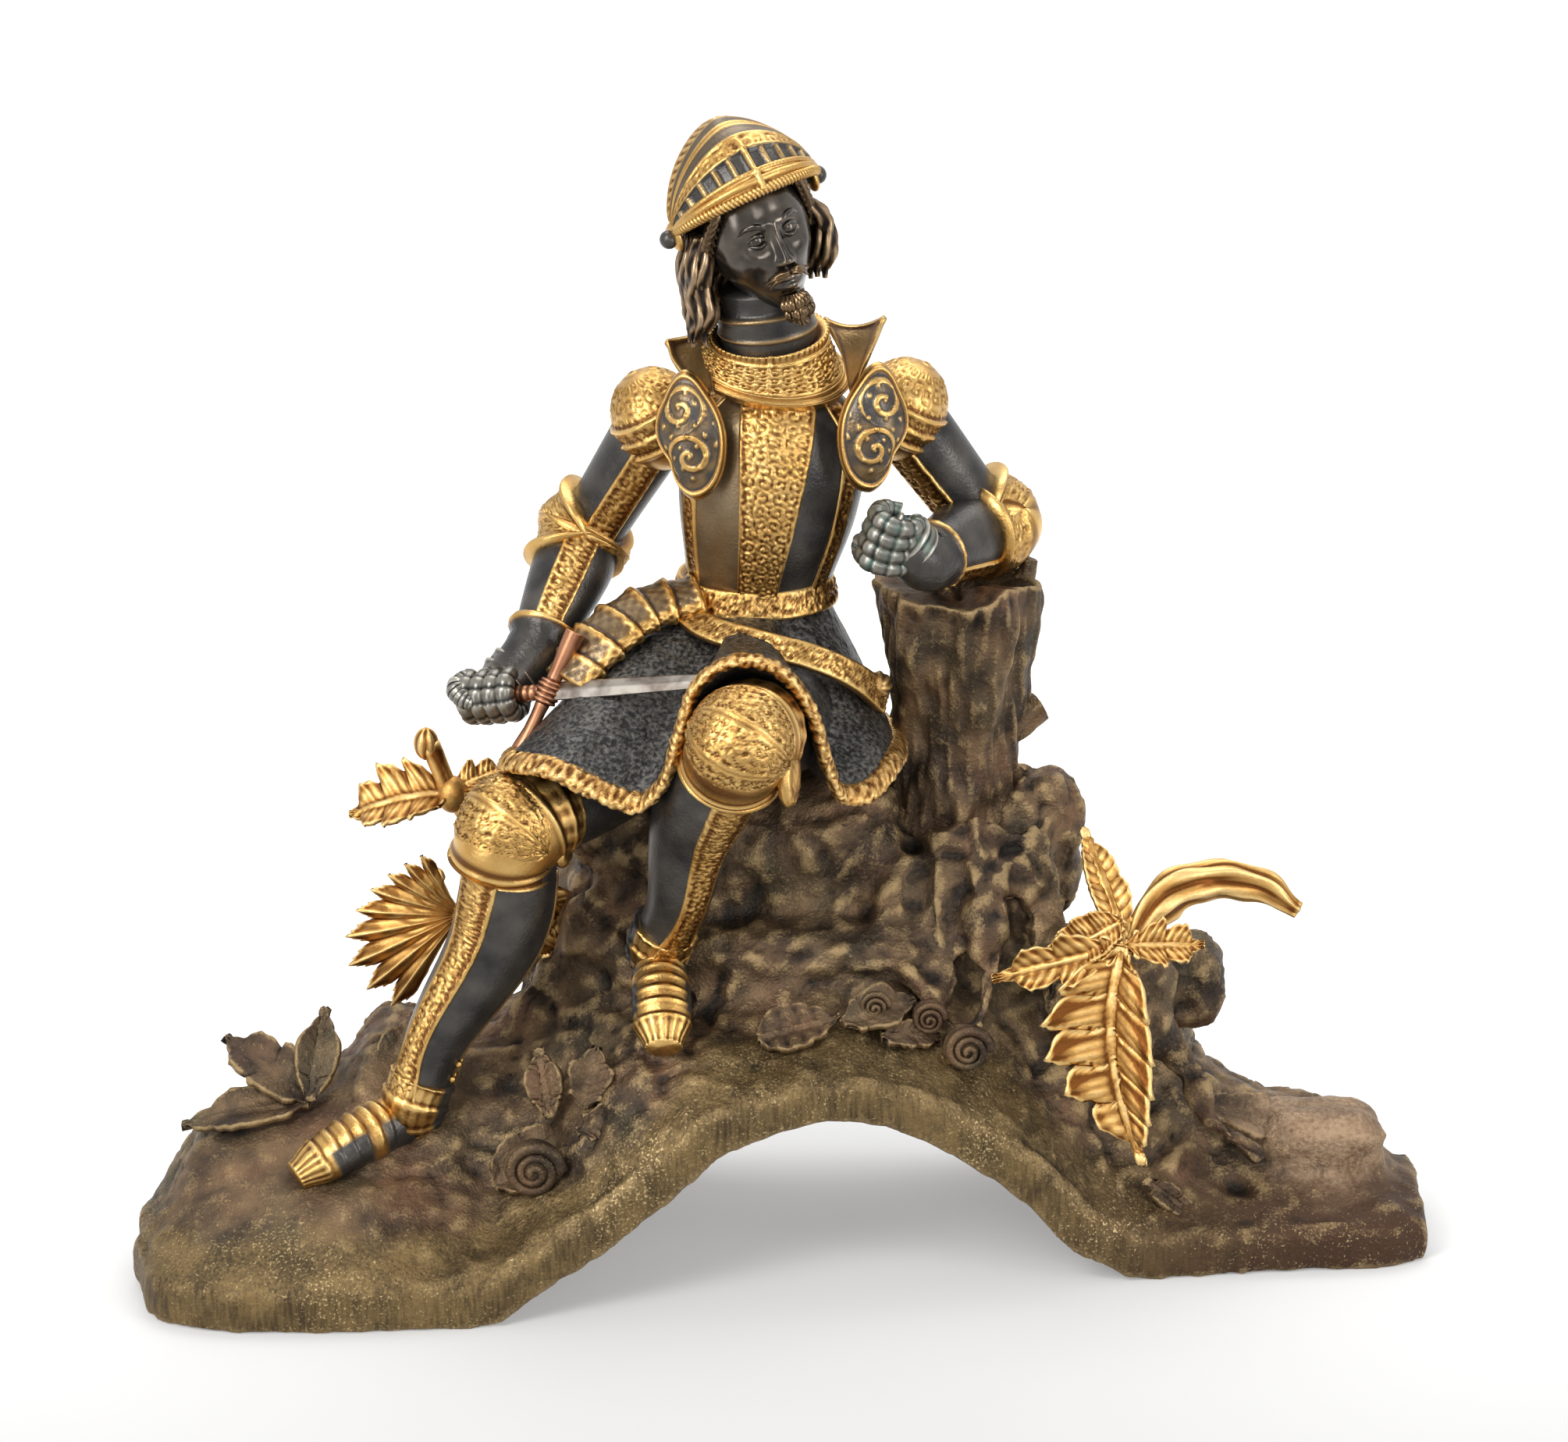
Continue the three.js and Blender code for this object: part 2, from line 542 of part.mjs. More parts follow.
// The skirt over hips and lap, filled below. It flares over the right thigh, and its last rows are the rolled
// border round the hem.
function skirt() {
  const edge = new THREE.CatmullRomCurve3(hem, true);
  const thighs = [
    [rightHip, rightKnee.clone().lerp(rightHip, 0.15), 18],
    [leftHip, leftKnee.clone().lerp(leftHip, 0.15), 18],
  ];
  const cloth = [0, 0.22, 0.45, 0.68, 0.9];
  const border = [[1, 2.5], [3, -1.5], [-1, -3.5], [-6, -1]];
  const rows = cloth.length + border.length - 1;
  return shaped(new THREE.CylinderGeometry(1, 1, 1, 26, rows), ({ x, y, z }) => {
    const row = Math.round((0.5 - y) * rows);
    if (Math.hypot(x, z) < 0.5) return row === 0 ? waist.clone() : hips.clone();
    const low = edge.getPoint((Math.atan2(x, z) / (Math.PI * 2) + 1) % 1);
    const way = Math.atan2(low.y - waist.y, low.x - waist.x);
    const outwards = (away, up) => at(Math.cos(way) * away, Math.sin(way) * away, up);
    if (row >= cloth.length) return low.add(outwards(...border[row - cloth.length]));
    const s = cloth[row];
    const high = waist.clone().add(at(Math.cos(way) * 23, Math.sin(way) * 19, 0));
    const lift = 4 * (1 + Math.sin(way)) + 8 * Math.max(0, -Math.cos(way)) - 3;
    return thighs.reduce(drapedOver, high.lerp(low, s).add(at(0, 0, lift * Math.sin(Math.PI * s))));
  });
}

// Belt, the lames that hang from it over the right hip, and the sword belt slung across to the left thigh.
function girdle() {
  const belt = hoop(
    Array.from({ length: 12 }, (_, i) => {
      const turn = (i / 12) * Math.PI * 2;
      return waist.clone().add(at(Math.cos(turn) * 23.5, Math.sin(turn) * 19.5, 5 + Math.sin(turn)));
    }), 4, 14);
  const lames = limb([at(-27, 24, 206), at(-43, 19, 203), at(-56, 10, 196), at(-66, 0, 185)], {
    width: through([0, 8], [0.6, 9.5], [1, 7]), depth: 5, front: [-0.3, -0.4, 0.85], sides: 6, steps: 6,
    section: (turn, t) => 1 + 0.14 * Math.cos(t * Math.PI * 6),
  });
  const slung = [[-34, 24, 203], [-25, 9, 199], [-10, 0, 197], [9, -4, 193], [22, 2, 185], [30, 12, 175]];
  const sling = limb(slung.map((point) => at(...point)), {
    width: 3.5, depth: 4.5, front: [0.1, -0.8, 0.6], sides: 4, steps: 6,
  });
  const knob = ball(at(29, 12, 179), [4.6, 4.6, 4.6], { around: 6, down: 4 });
  return joined(belt, lames, sling, knob);
}

// One leg: thigh, knee cop with its lames and side wing, greave, ankle lames and the jointed shoe.
function leg(hip, knee, ankle, toe, calf, wing) {
  const thigh = limb([hip, knee], { width: through([0, 18], [0.6, 17], [1, 14]), steps: 1 });
  const shin = knee.clone().sub(ankle).normalize();
  const cop = ball(knee, [18, 18.5, 15.5], {
    turn: new THREE.Quaternion().setFromUnitVectors(new THREE.Vector3(0, 0, 1), shin),
    around: 10,
    shape: (p) => p.multiplyScalar(1 + 0.025 * Math.cos(p.z * 10)),
  });
  const plate = ball(knee.clone().add(wing), [3, 5, 9], { turn: turnedBy(20, 14, 0), around: 6, down: 4 });
  const down = (part) => knee.clone().lerp(ankle, part);
  const greave = limb([knee, down(0.38).add(calf), down(0.75), ankle], {
    width: through([0, 14], [0.3, 15.5], [0.6, 12.5], [0.85, 9.4], [1, 9.4]),
    section: (turn) => 1 + 0.1 * Math.max(0, Math.cos(turn)) ** 6,
  });
  const heel = ankle.clone().add(at(0, 5, -6));
  const shoe = limb([heel, ankle.clone().lerp(toe, 0.45).add(at(0, 0, -1)), toe], {
    width: through([0, 8], [0.45, 9], [0.8, 9.5], [1, 5.5]),
    depth: through([0, 9.5], [0.5, 8], [1, 4.5]),
    front: [0, 0, 1],
    steps: 5,
    section: (turn, t) => 1 + 0.05 * Math.cos(t * Math.PI * 5),
  });
  return joined(thigh, cop, plate, greave, shoe);
}

function wholeKnight() {
  return joined(
    torso(),
    head(),
    helmet(),
    shoulder(-1, rightShoulder, at(-28.6, 13.2, 260), at(-30, 30, 287)),
    shoulder(1, leftShoulder, at(27.3, 13, 262.5), at(21.6, 33, 290.5)),
    arm(rightShoulder, rightElbow, rightWrist, rightFist, bladeWay, [-0.8, -0.2, 0.3]),
    arm(leftShoulder, leftElbow, leftWrist, leftFist, [0.3, -0.2, 1], [0.9, 0.1, 0.3]),
    skirt(),
    girdle(),
    leg(rightHip, rightKnee, rightAnkle, rightToe, at(7, 4, 0), at(16, 2, -2)),
    leg(leftHip, leftKnee, leftAnkle, leftToe, at(-4, 5, 0), at(15.5, 2, -11)),
  );
}

// The sword, made larger all round by grow where it is cut out of the hand that holds it.
function sword(grow = 0) {
  const half = (size) => (size / 2 + grow) / share;
  const centre = swordAt(guardPlace);
  const endedAt = (t) => swordAt(t).addScaledVector(bladeWay, grow * Math.sign(t - guardPlace));
  const blade = limb([centre, endedAt(1)], {
    width: through([0, half(bladeWidth)], [0.75, half(bladeWidth * 0.8)], [1, half(1)]),
    depth: half(bladeThick),
    front: [0.3, -0.75, 0.6],
    sides: 4,
    steps: 3,
  });
  const grip = limb([endedAt(0.04), centre], { width: half(gripRadius * 2), steps: 1 });
  const knob = ball(swordAt(0.03), Array(3).fill(half(pommelRadius * 2)), { around: 7, down: 5 });
  const arms = new THREE.Vector3(0.42, 0.25, 0.87).normalize().multiplyScalar(guardSpan / 2 + grow);
  const guard = limb([centre.clone().sub(arms), centre.clone(), centre.clone().add(arms)], {
    width: through([0, half(guardThick * 1.2)], [0.2, half(guardThick * 0.8)], [0.5, half(guardThick * 1.5)],
      [0.8, half(guardThick * 0.8)], [1, half(guardThick * 1.2)]),
    sides: 5,
  });
  return joined(blade, grip, knob, guard);
}

// The spray at the right: a hanging toothed frond, side leaves, a lance leaf and a curled shoot, on one stem
// that is rooted between the stones.
function rightSpray() {
  const hub = at(105, -28, 108);
  const stem = limb([hub, at(105, -20, 104), at(104, -6, 96)], {
    width: stemRadius / share, sides: 5, steps: 1,
  });
  const leaves = [
    leaf(hub, [-0.35, -0.3, -1], [-0.3, -1, 0.3], {
      length: 62, width: 38, teeth: 6, curl: 0.25, notch: 0.42, veer: -26,
    }),
    leaf(hub, [-1, -0.1, -0.22], [0, -1, 0.4], { length: 43, width: 17 }),
    leaf(hub, [-0.95, 0.1, 0.14], [0, -0.7, 0.7], { length: 30, width: 18 }),
    leaf(hub, [1, -0.1, 0.1], [0, -0.8, 0.6], { length: 25, width: 16, notch: 0.4 }),
    leaf(at(105, -20, 106), [-0.3, 0.5, 0.9], [0.3, -1, 0.3], { length: 40, width: 13 }),
  ];
  const bent = [
    [106, -22, 106], [112, -14, 114], [120, -9, 122], [135, -6, 125], [149, -5, 120], [160, -5, 111],
  ];
  const shoot = limb(bent.map((point) => at(...point)), {
    width: through([0, 4], [0.35, 5], [0.8, 5], [1, 2.5]),
    depth: through([0, 3], [0.4, 5.5], [1, 2.5]),
    sides: 6,
    steps: 8,
    section: (turn, t) => 1 + 0.13 * Math.cos(t * Math.PI * 8),
  });
  return joined(stem, leaves, shoot);
}

// The spray at the left: a stem with a bud, a leaf each way from its knuckle, and a fan leaf below it.
function leftSpray() {
  const up = [[-64, 30, 92], [-82, 24, 112], [-98, 18, 132], [-106, 18, 146], [-111, 20, 158]];
  const stem = limb(up.map((point) => at(...point)), {
    width: through([0, stemRadius / share], [0.7, stemRadius / share], [1, 3]), sides: 5,
  });
  const bud = ball(at(-112, 20, 158), [3.6, 3.6, 5], { around: 6, down: 4 });
  const joint = at(-104, 18, 142);
  const knuckle = ball(joint, [5, 5, 6], { around: 6, down: 4 });
  const fork = at(-84, 22, 112);
  const leaves = [
    leaf(joint, [-1, -0.2, 0.08], [0, -0.7, 1], { length: 35, width: 26, teeth: 4, curl: 0.8, notch: 0.35 }),
    leaf(joint, [0.9, 0.3, 0.5], [0, -0.6, 1], { length: 21, width: 13, curl: 0.6 }),
    leaf(fork, [0.9, 0.1, -0.75], [-0.2, -1, 0.3], { length: 34, width: 17 }),
    leaf(fork, [0.3, 0.1, -1], [-0.2, -1, 0.3], { length: 32, width: 17 }),
  ];
  const hub = at(-102, 12, 104);
  const fan = fanLeaf(hub, [-0.43, 0, 0.9], [-0.5, -0.1, -0.85], [-0.2, -1, 0.1], [23, 26, 34, 40, 38]);
  const footstalk = limb([at(-86, 22, 117), at(-94, 17, 111), hub], { width: 3, sides: 5, steps: 2 });
  return joined(stem, bud, knuckle, leaves, fan, footstalk);
}

// A piece cut clear of the ones that carry it: each is taken away where it stands, and once more a gap above
// and to every side of there.
const shifts = [[0, 0, 0], [0, 0, 1], [1, 0, 0], [-1, 0, 0], [0, 1, 0], [0, -1, 0]];
const clearOf = (piece, ...others) =>
  others.reduce((left, other) => shifts.reduce((rest, shift) =>
    rest.subtract(other.translate(shift.map((part) => part * seatGap))), left), piece);

// The largest body of a solid, without the slivers that a cut leaves.
const mainBody = (solid) =>
  solid.decompose().reduce((big, body) => (body.volume() > big.volume() ? body : big));

function meshOf(name, solid, { color, roughness, metalness }) {
  const { vertProperties, triVerts } = mainBody(solid).getMesh();
  const geometry = new THREE.BufferGeometry()
    .setAttribute("position", new THREE.BufferAttribute(new Float32Array(vertProperties), 3))
    .setIndex(new THREE.BufferAttribute(new Uint32Array(triVerts), 1));
  geometry.computeVertexNormals();
  const mesh = new THREE.Mesh(geometry, new THREE.MeshStandardMaterial({ color, roughness, metalness }));
  mesh.name = name;
  return mesh;
}

const rockyBase = base();
const drawnSword = sword();
const knight = clearOf(wholeKnight().subtract(sword(seatGap)), rockyBase);

const statue = new THREE.Group();
statue.add(
  meshOf("rocky_base", rockyBase, earth),
  meshOf("knight", knight, bronze),
  meshOf("sword", drawnSword, steel),
  meshOf("leaf_spray_left", clearOf(leftSpray(), rockyBase, knight), gilt),
  meshOf("leaf_spray_right", clearOf(rightSpray(), rockyBase), gilt),
);
export default statue;
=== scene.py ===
# A knight in half armour, seated on a rocky bridge: bronze with a near-black patina, its borders, belts and
# leaves fire gilt, its base browned and rubbed to gold. Sizes are millimetres, turned to metres when a sheet
# is laid. The knight faces -Y, and left of the knight is +X.
import itertools
import math

import bmesh
import bpy
import numpy as np
from mathutils import Euler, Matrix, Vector


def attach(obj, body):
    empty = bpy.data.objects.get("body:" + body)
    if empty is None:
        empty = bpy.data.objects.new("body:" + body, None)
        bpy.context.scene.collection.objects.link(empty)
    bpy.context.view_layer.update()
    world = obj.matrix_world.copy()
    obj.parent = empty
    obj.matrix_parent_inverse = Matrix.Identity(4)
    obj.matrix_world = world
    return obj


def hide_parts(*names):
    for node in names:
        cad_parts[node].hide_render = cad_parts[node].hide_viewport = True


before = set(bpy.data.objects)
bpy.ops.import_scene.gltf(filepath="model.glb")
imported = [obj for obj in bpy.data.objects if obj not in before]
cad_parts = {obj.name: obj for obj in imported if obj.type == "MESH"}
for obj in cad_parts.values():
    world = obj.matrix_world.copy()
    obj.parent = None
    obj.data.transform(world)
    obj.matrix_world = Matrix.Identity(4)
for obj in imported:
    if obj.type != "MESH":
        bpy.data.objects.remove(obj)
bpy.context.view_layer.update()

# The rocky base is one hollow bronze casting: a bridge on two broad feet with a boulder for a seat, a tree
# stump, roots and stones. Its skin is left rough from the mould, its front band is chiselled, and its brown
# patina is rubbed through to gold on all that stands out.
mm = 0.001
full_turn = 2 * math.pi
base_end = 203
base_front = -78
base_back = 78
arch_rise = 59
arch_left = -92
arch_right = 112
rim_height = 16.5
crown_wall = 16
right_sole = (-133, -35, 37)
left_sole = (-38, -27, 83)


def through(*stops, level=True):
    """A function that runs smoothly through stops of (place, value); a value is a number or a point."""
    places = np.array([stop[0] for stop in stops], float)
    values = np.array([stop[1] for stop in stops], float)
    slopes = np.zeros_like(values)
    runs = places[2:] - places[:-2]
    slopes[1:-1] = (values[2:] - values[:-2]) / (runs if values.ndim == 1 else runs[:, None])
    if not level:
        slopes[0] = (values[1] - values[0]) / (places[1] - places[0])
        slopes[-1] = (values[-1] - values[-2]) / (places[-1] - places[-2])

    def value(place):
        place = np.clip(place, places[0], places[-1])
        i = np.clip(np.searchsorted(places, place, side="right") - 1, 0, len(places) - 2)
        span = places[i + 1] - places[i]
        s = (place - places[i]) / span
        if values.ndim > 1:
            s, span = s[..., None], span[..., None]
        start = values[i] * (1 + 2 * s) * (1 - s) ** 2 + slopes[i] * span * s * (1 - s) ** 2
        return start + values[i + 1] * s * s * (3 - 2 * s) + slopes[i + 1] * span * s * s * (s - 1)

    return value


def eased(value, low, high):
    s = np.clip((value - low) / (high - low), 0, 1)
    return s * s * (3 - 2 * s)


def peak(away, reach):
    """1 where away is nought, and fading to nothing past its reach."""
    return np.exp(-((away / reach) ** 2))


def taper(start, end):
    return through((0, start), (1, end))


def sized(size):
    """A size along a piece, given as a number or as a function of the share of its length."""
    return size if callable(size) else lambda t: size + 0 * t


def unit(vectors):
    vectors = np.asarray(vectors, float)
    return vectors / np.maximum(np.linalg.norm(vectors, axis=-1, keepdims=True), 1e-9)


def scattered(cells, seed):
    """A number between -1 and 1 for each whole cell, the same on every run."""
    x, y, z = cells.T
    key = (x * 73856093 ^ y * 19349663 ^ z * 83492791) + seed * 7919
    key = (key ^ key >> 13) * 1274126177 & 0xFFFFFFFF
    return ((key ^ key >> 16) & 0xFFFF) / 32767.5 - 1


def lumps(points, size, seed):
    """Smooth unevenness between -1 and 1, in lumps of a size."""
    cells = points / size
    low = np.floor(cells).astype(np.int64)
    part = cells - low
    part = part * part * (3 - 2 * part)
    total = np.zeros(len(points))
    for corner in itertools.product((0, 1), repeat=3):
        total += np.prod(np.where(corner, part, 1 - part), axis=1) * scattered(low + corner, seed)
    return total


def rugged(points, size, octaves=3, seed=0):
    """Lumps on lumps, each half as large and half as high."""
    return sum(lumps(points, size / 2**k, seed + k) / 2**k for k in range(octaves))


def chipped(points, size, seed):
    """The rise of rock broken into flat faces of a size, each tilted its own way, with creases between."""
    low = np.floor(points / size).astype(np.int64)
    nearest = np.full(len(points), 9.0)
    second = nearest.copy()
    face = np.zeros(len(points))
    for step in itertools.product((-1, 0, 1), repeat=3):
        cell = low + step
        marks = [scattered(cell, 50 * seed + k) for k in range(4)]
        away = points / size - cell - 0.5 - 0.4 * np.stack(marks[:3], axis=1)
        far = np.linalg.norm(away, axis=1)
        tilted = 0.5 * marks[3] + away[:, 0] * marks[1] + away[:, 2] * marks[2]
        face = np.where(far < nearest, tilted, face)
        second = np.where(far < nearest, nearest, np.minimum(second, far))
        nearest = np.minimum(nearest, far)
    return face - 0.6 * (1 - eased(second - nearest, 0, 0.22))


def line_through(points, closed=False):
    """A smooth line through points, as a function of the share of its length."""
    points = np.array(points, float)
    if closed:
        points = np.vstack([points[-2:], points, points[:3]])
    steps = np.linalg.norm(np.diff(points, axis=0), axis=1) ** 0.5
    places = np.concatenate([[0], np.cumsum(steps)])
    first, last = (places[2], places[-3]) if closed else (0, places[-1])
    fine = through(*zip(places, points), level=False)(np.linspace(first, last, 600))
    run = np.concatenate([[0], np.cumsum(np.linalg.norm(np.diff(fine, axis=0), axis=1))])
    even = np.array([np.interp(np.linspace(0, run[-1], 400), run, fine[:, axis]) for axis in range(3)]).T
    return lambda t: read(even, t)


def read(table, t):
    """A row of a table at the share t of its length, between two rows where it falls between them."""
    place = np.clip(t, 0, 1) * (len(table) - 1)
    low = np.minimum(place.astype(int), len(table) - 2)
    part = (place - low)[:, None]
    return table[low] * (1 - part) + table[low + 1] * part


class Limb:
    """A rounded form along a line. Its half-depth lies towards its front, its half-width aside of that, and
    swell(turn, t) shapes its section; turn is 0 at the front."""

    def __init__(self, points, width, depth=None, front=(0, -1, 0), swell=None, closed=False):
        self.line = line_through(points, closed)(np.linspace(0, 1, 400))
        along = unit(np.gradient(self.line, axis=0))
        if closed:
            along[0] = along[-1] = unit(along[0] + along[-1])
        ahead = np.broadcast_to(np.asarray(front, float), along.shape)
        self.forward = unit(ahead - along * (along * ahead).sum(axis=1, keepdims=True))
        self.aside = np.cross(self.forward, along)
        self.along = along
        self.width = sized(width)
        self.depth = self.width if depth is None else sized(depth)
        self.swell = swell or (lambda turn, t: 1)

    def skin(self, t, turn, lift=0.0):
        across = (self.width(t) * self.swell(turn, t) + lift) * np.sin(turn)
        ahead = (self.depth(t) * self.swell(turn, t) + lift) * np.cos(turn)
        sides = read(self.forward, t) * ahead[:, None] + read(self.aside, t) * across[:, None]
        return read(self.line, t) + sides


class Casting:
    """A piece in the making. Sheets of metal are laid by functions and closed into one mesh."""

    def __init__(self):
        self.bm = bmesh.new()
        self.gold = self.bm.verts.layers.float.new("gold")

    def sheet(self, columns, rows, place, gold=0.0, wall=0.0, caps=False):
        """A sheet of columns by rows cells. place(u, v) gives its points in millimetres, or its points and
        how much each is gilt. Points that meet are merged, caps close its open ends, and wall thickens it."""
        made = bmesh.ops.create_grid(self.bm, x_segments=columns, y_segments=rows, size=0.5)["verts"]
        flat = np.array([vert.co for vert in made]) + 0.5
        points = place(flat[:, 0], flat[:, 1])
        if isinstance(points, tuple):
            points, gold = points
        places = [Vector(point) for point in (points * mm).tolist()]
        gilding = np.broadcast_to(gold, len(made)).tolist()
        for vert, spot, gilt in zip(made, places, gilding):
            vert.co = spot
            vert[self.gold] = gilt
        bmesh.ops.remove_doubles(self.bm, verts=made, dist=0.02 * mm)
        made = [vert for vert in made if vert.is_valid]
        faces = list(dict.fromkeys(face for vert in made for face in vert.link_faces))
        if caps:
            edges = dict.fromkeys(edge for face in faces for edge in face.edges if edge.is_boundary)
            faces += bmesh.ops.holes_fill(self.bm, edges=list(edges), sides=0)["faces"]
        bmesh.ops.recalc_face_normals(self.bm, faces=faces)
        if wall:
            self.bm.normal_update()
            behind = bmesh.ops.extrude_face_region(self.bm, geom=faces, use_keep_orig=True)["geom"]
            for part in behind:
                if isinstance(part, bmesh.types.BMVert):
                    part.co -= part.normal * wall * mm
                    faces += part.link_faces
            bmesh.ops.recalc_face_normals(self.bm, faces=list(dict.fromkeys(faces)))

    def limb(self, limb, around, along, gold=0.0):
        """The whole skin of a limb, closed at both ends."""
        self.sheet(around, along, lambda u, v: limb.skin(v, u * full_turn), gold, caps=True)

    def ball(self, centre, radii, axes=np.eye(3), around=24, down=14, shape=None, gold=0.0):
        """A ball or dome with radii along its own axes. shape gets its unit points and gives them moved."""

        def place(u, v):
            turn, tilt = u * full_turn, v * math.pi
            wide = np.sin(tilt)
            points = np.stack([wide * np.cos(turn), wide * np.sin(turn), np.cos(tilt)], axis=1)
            if shape:
                points = shape(points)
            return np.asarray(centre) + (points * radii) @ np.asarray(axes, float)

        self.sheet(around, down, place, gold)


def mesh_points(mesh):
    points = np.empty(len(mesh.vertices) * 3)
    mesh.vertices.foreach_get("co", points)
    return points.reshape(-1, 3) / mm


def mesh_normals(mesh):
    normals = np.empty(len(mesh.vertices) * 3)
    mesh.vertex_normals.foreach_get("vector", normals)
    return normals.reshape(-1, 3)


def smoothed(mesh, values, rounds):
    """Values of a mesh's points, each round evened out with those beside them."""
    edges = np.empty(len(mesh.edges) * 2, int)
    mesh.edges.foreach_get("vertices", edges)
    ends = edges.reshape(-1, 2)
    count = len(mesh.vertices)
    near = np.concatenate([ends[:, 0], ends[:, 1]])
    far = np.concatenate([ends[:, 1], ends[:, 0]])
    many = np.maximum(np.bincount(near, minlength=count), 1)
    for _ in range(rounds):
        values = np.stack([np.bincount(near, column[far], count) / many for column in values.T], axis=1)
    return values


def finished(casting, name, finish, node, reach=4, gain=2.2):
    """A piece with its wear: high is 1 on what stands out of the skin around it and 0 in its hollows. reach
    is how far that skin goes, in edges of the mesh, and gain how sharply high tells the two apart."""
    mesh = casting
    if isinstance(casting, Casting):
        mesh = bpy.data.meshes.new(name)
        casting.bm.to_mesh(mesh)
        casting.bm.free()
    mesh.name = name
    mesh.shade_smooth()
    points = mesh_points(mesh)
    rise = ((points - smoothed(mesh, points, reach)) * mesh_normals(mesh)).sum(axis=1, keepdims=True)
    high = np.clip(0.5 + gain * (smoothed(mesh, rise, 1) - smoothed(mesh, rise, 3 * reach))[:, 0], 0, 1)
    mesh.attributes.new("high", "FLOAT", "POINT").data.foreach_set("value", high)
    mesh.materials.clear()
    mesh.materials.append(finish)
    piece = bpy.data.objects.new(name, mesh)
    bpy.context.scene.collection.objects.link(piece)
    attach(piece, "root")
    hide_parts(node)
    return piece


class Wire:
    """A value on its way through a material's nodes. Arithmetic on it adds Math nodes."""

    def __init__(self, finish, socket):
        self.finish = finish
        self.socket = socket

    def maths(self, operation, *values):
        return self.finish.node("ShaderNodeMath", {"operation": operation}, dict(enumerate(values)))

    def __add__(self, other):
        return self.maths("ADD", self, other)

    def __mul__(self, other):
        return self.maths("MULTIPLY", self, other)

    def __sub__(self, other):
        return self.maths("SUBTRACT", self, other)

    def __rsub__(self, other):
        return self.maths("SUBTRACT", other, self)

    __radd__ = __add__
    __rmul__ = __mul__

    def between(self, low, high):
        """0 below low, 1 above high, and even in between."""
        return self.finish.node("ShaderNodeMapRange", {}, {"Value": self, "From Min": low, "From Max": high})


class Finish:
    """A material in the making, with node() for any node and tint() to mix two colours."""

    def __init__(self, name):
        self.material = bpy.data.materials.new(name)
        self.material.use_nodes = True
        self.nodes = self.material.node_tree.nodes
        self.nodes.clear()

    def node(self, kind, settings, sockets, output=0):
        made = self.nodes.new(kind)
        for setting, value in settings.items():
            setattr(made, setting, value)
        for socket, value in sockets.items():
            if isinstance(value, Wire):
                self.material.node_tree.links.new(value.socket, made.inputs[socket])
            else:
                made.inputs[socket].default_value = value
        return Wire(self, made.outputs[output]) if made.outputs else made

    def tint(self, low, high, share):
        """A colour between two, each a wire or three numbers. Sockets 6 and 7 of the node hold colours."""
        low, high = (colour if isinstance(colour, Wire) else (*colour, 1) for colour in (low, high))
        return self.node("ShaderNodeMix", {"data_type": "RGBA"}, {0: share, 6: low, 7: high}, output=2)

    def worn(self, name):
        return self.node("ShaderNodeAttribute", {"attribute_name": name}, {}, output="Fac")

    def place(self):
        return self.node("ShaderNodeTexCoord", {}, {}, output="Object")

    def cloud(self, size, detail=4):
        """Cloudy noise between 0 and 1 in patches of a size in millimetres."""
        sockets = {"Vector": self.place(), "Scale": 1 / (size * mm), "Detail": detail}
        return self.node("ShaderNodeTexNoise", {}, sockets)

    def skin(self, colour, roughness, metallic, height, depth):
        """The surface itself: height is its unevenness, and depth that height in millimetres."""
        bumped = {"Strength": 1.0, "Distance": depth * mm, "Height": height}
        normal = self.node("ShaderNodeBump", {}, bumped)
        sockets = {"Base Color": colour, "Roughness": roughness, "Metallic": metallic, "Normal": normal}
        shader = self.node("ShaderNodeBsdfPrincipled", {}, sockets)
        self.node("ShaderNodeOutputMaterial", {}, {"Surface": shader})
        return self.material


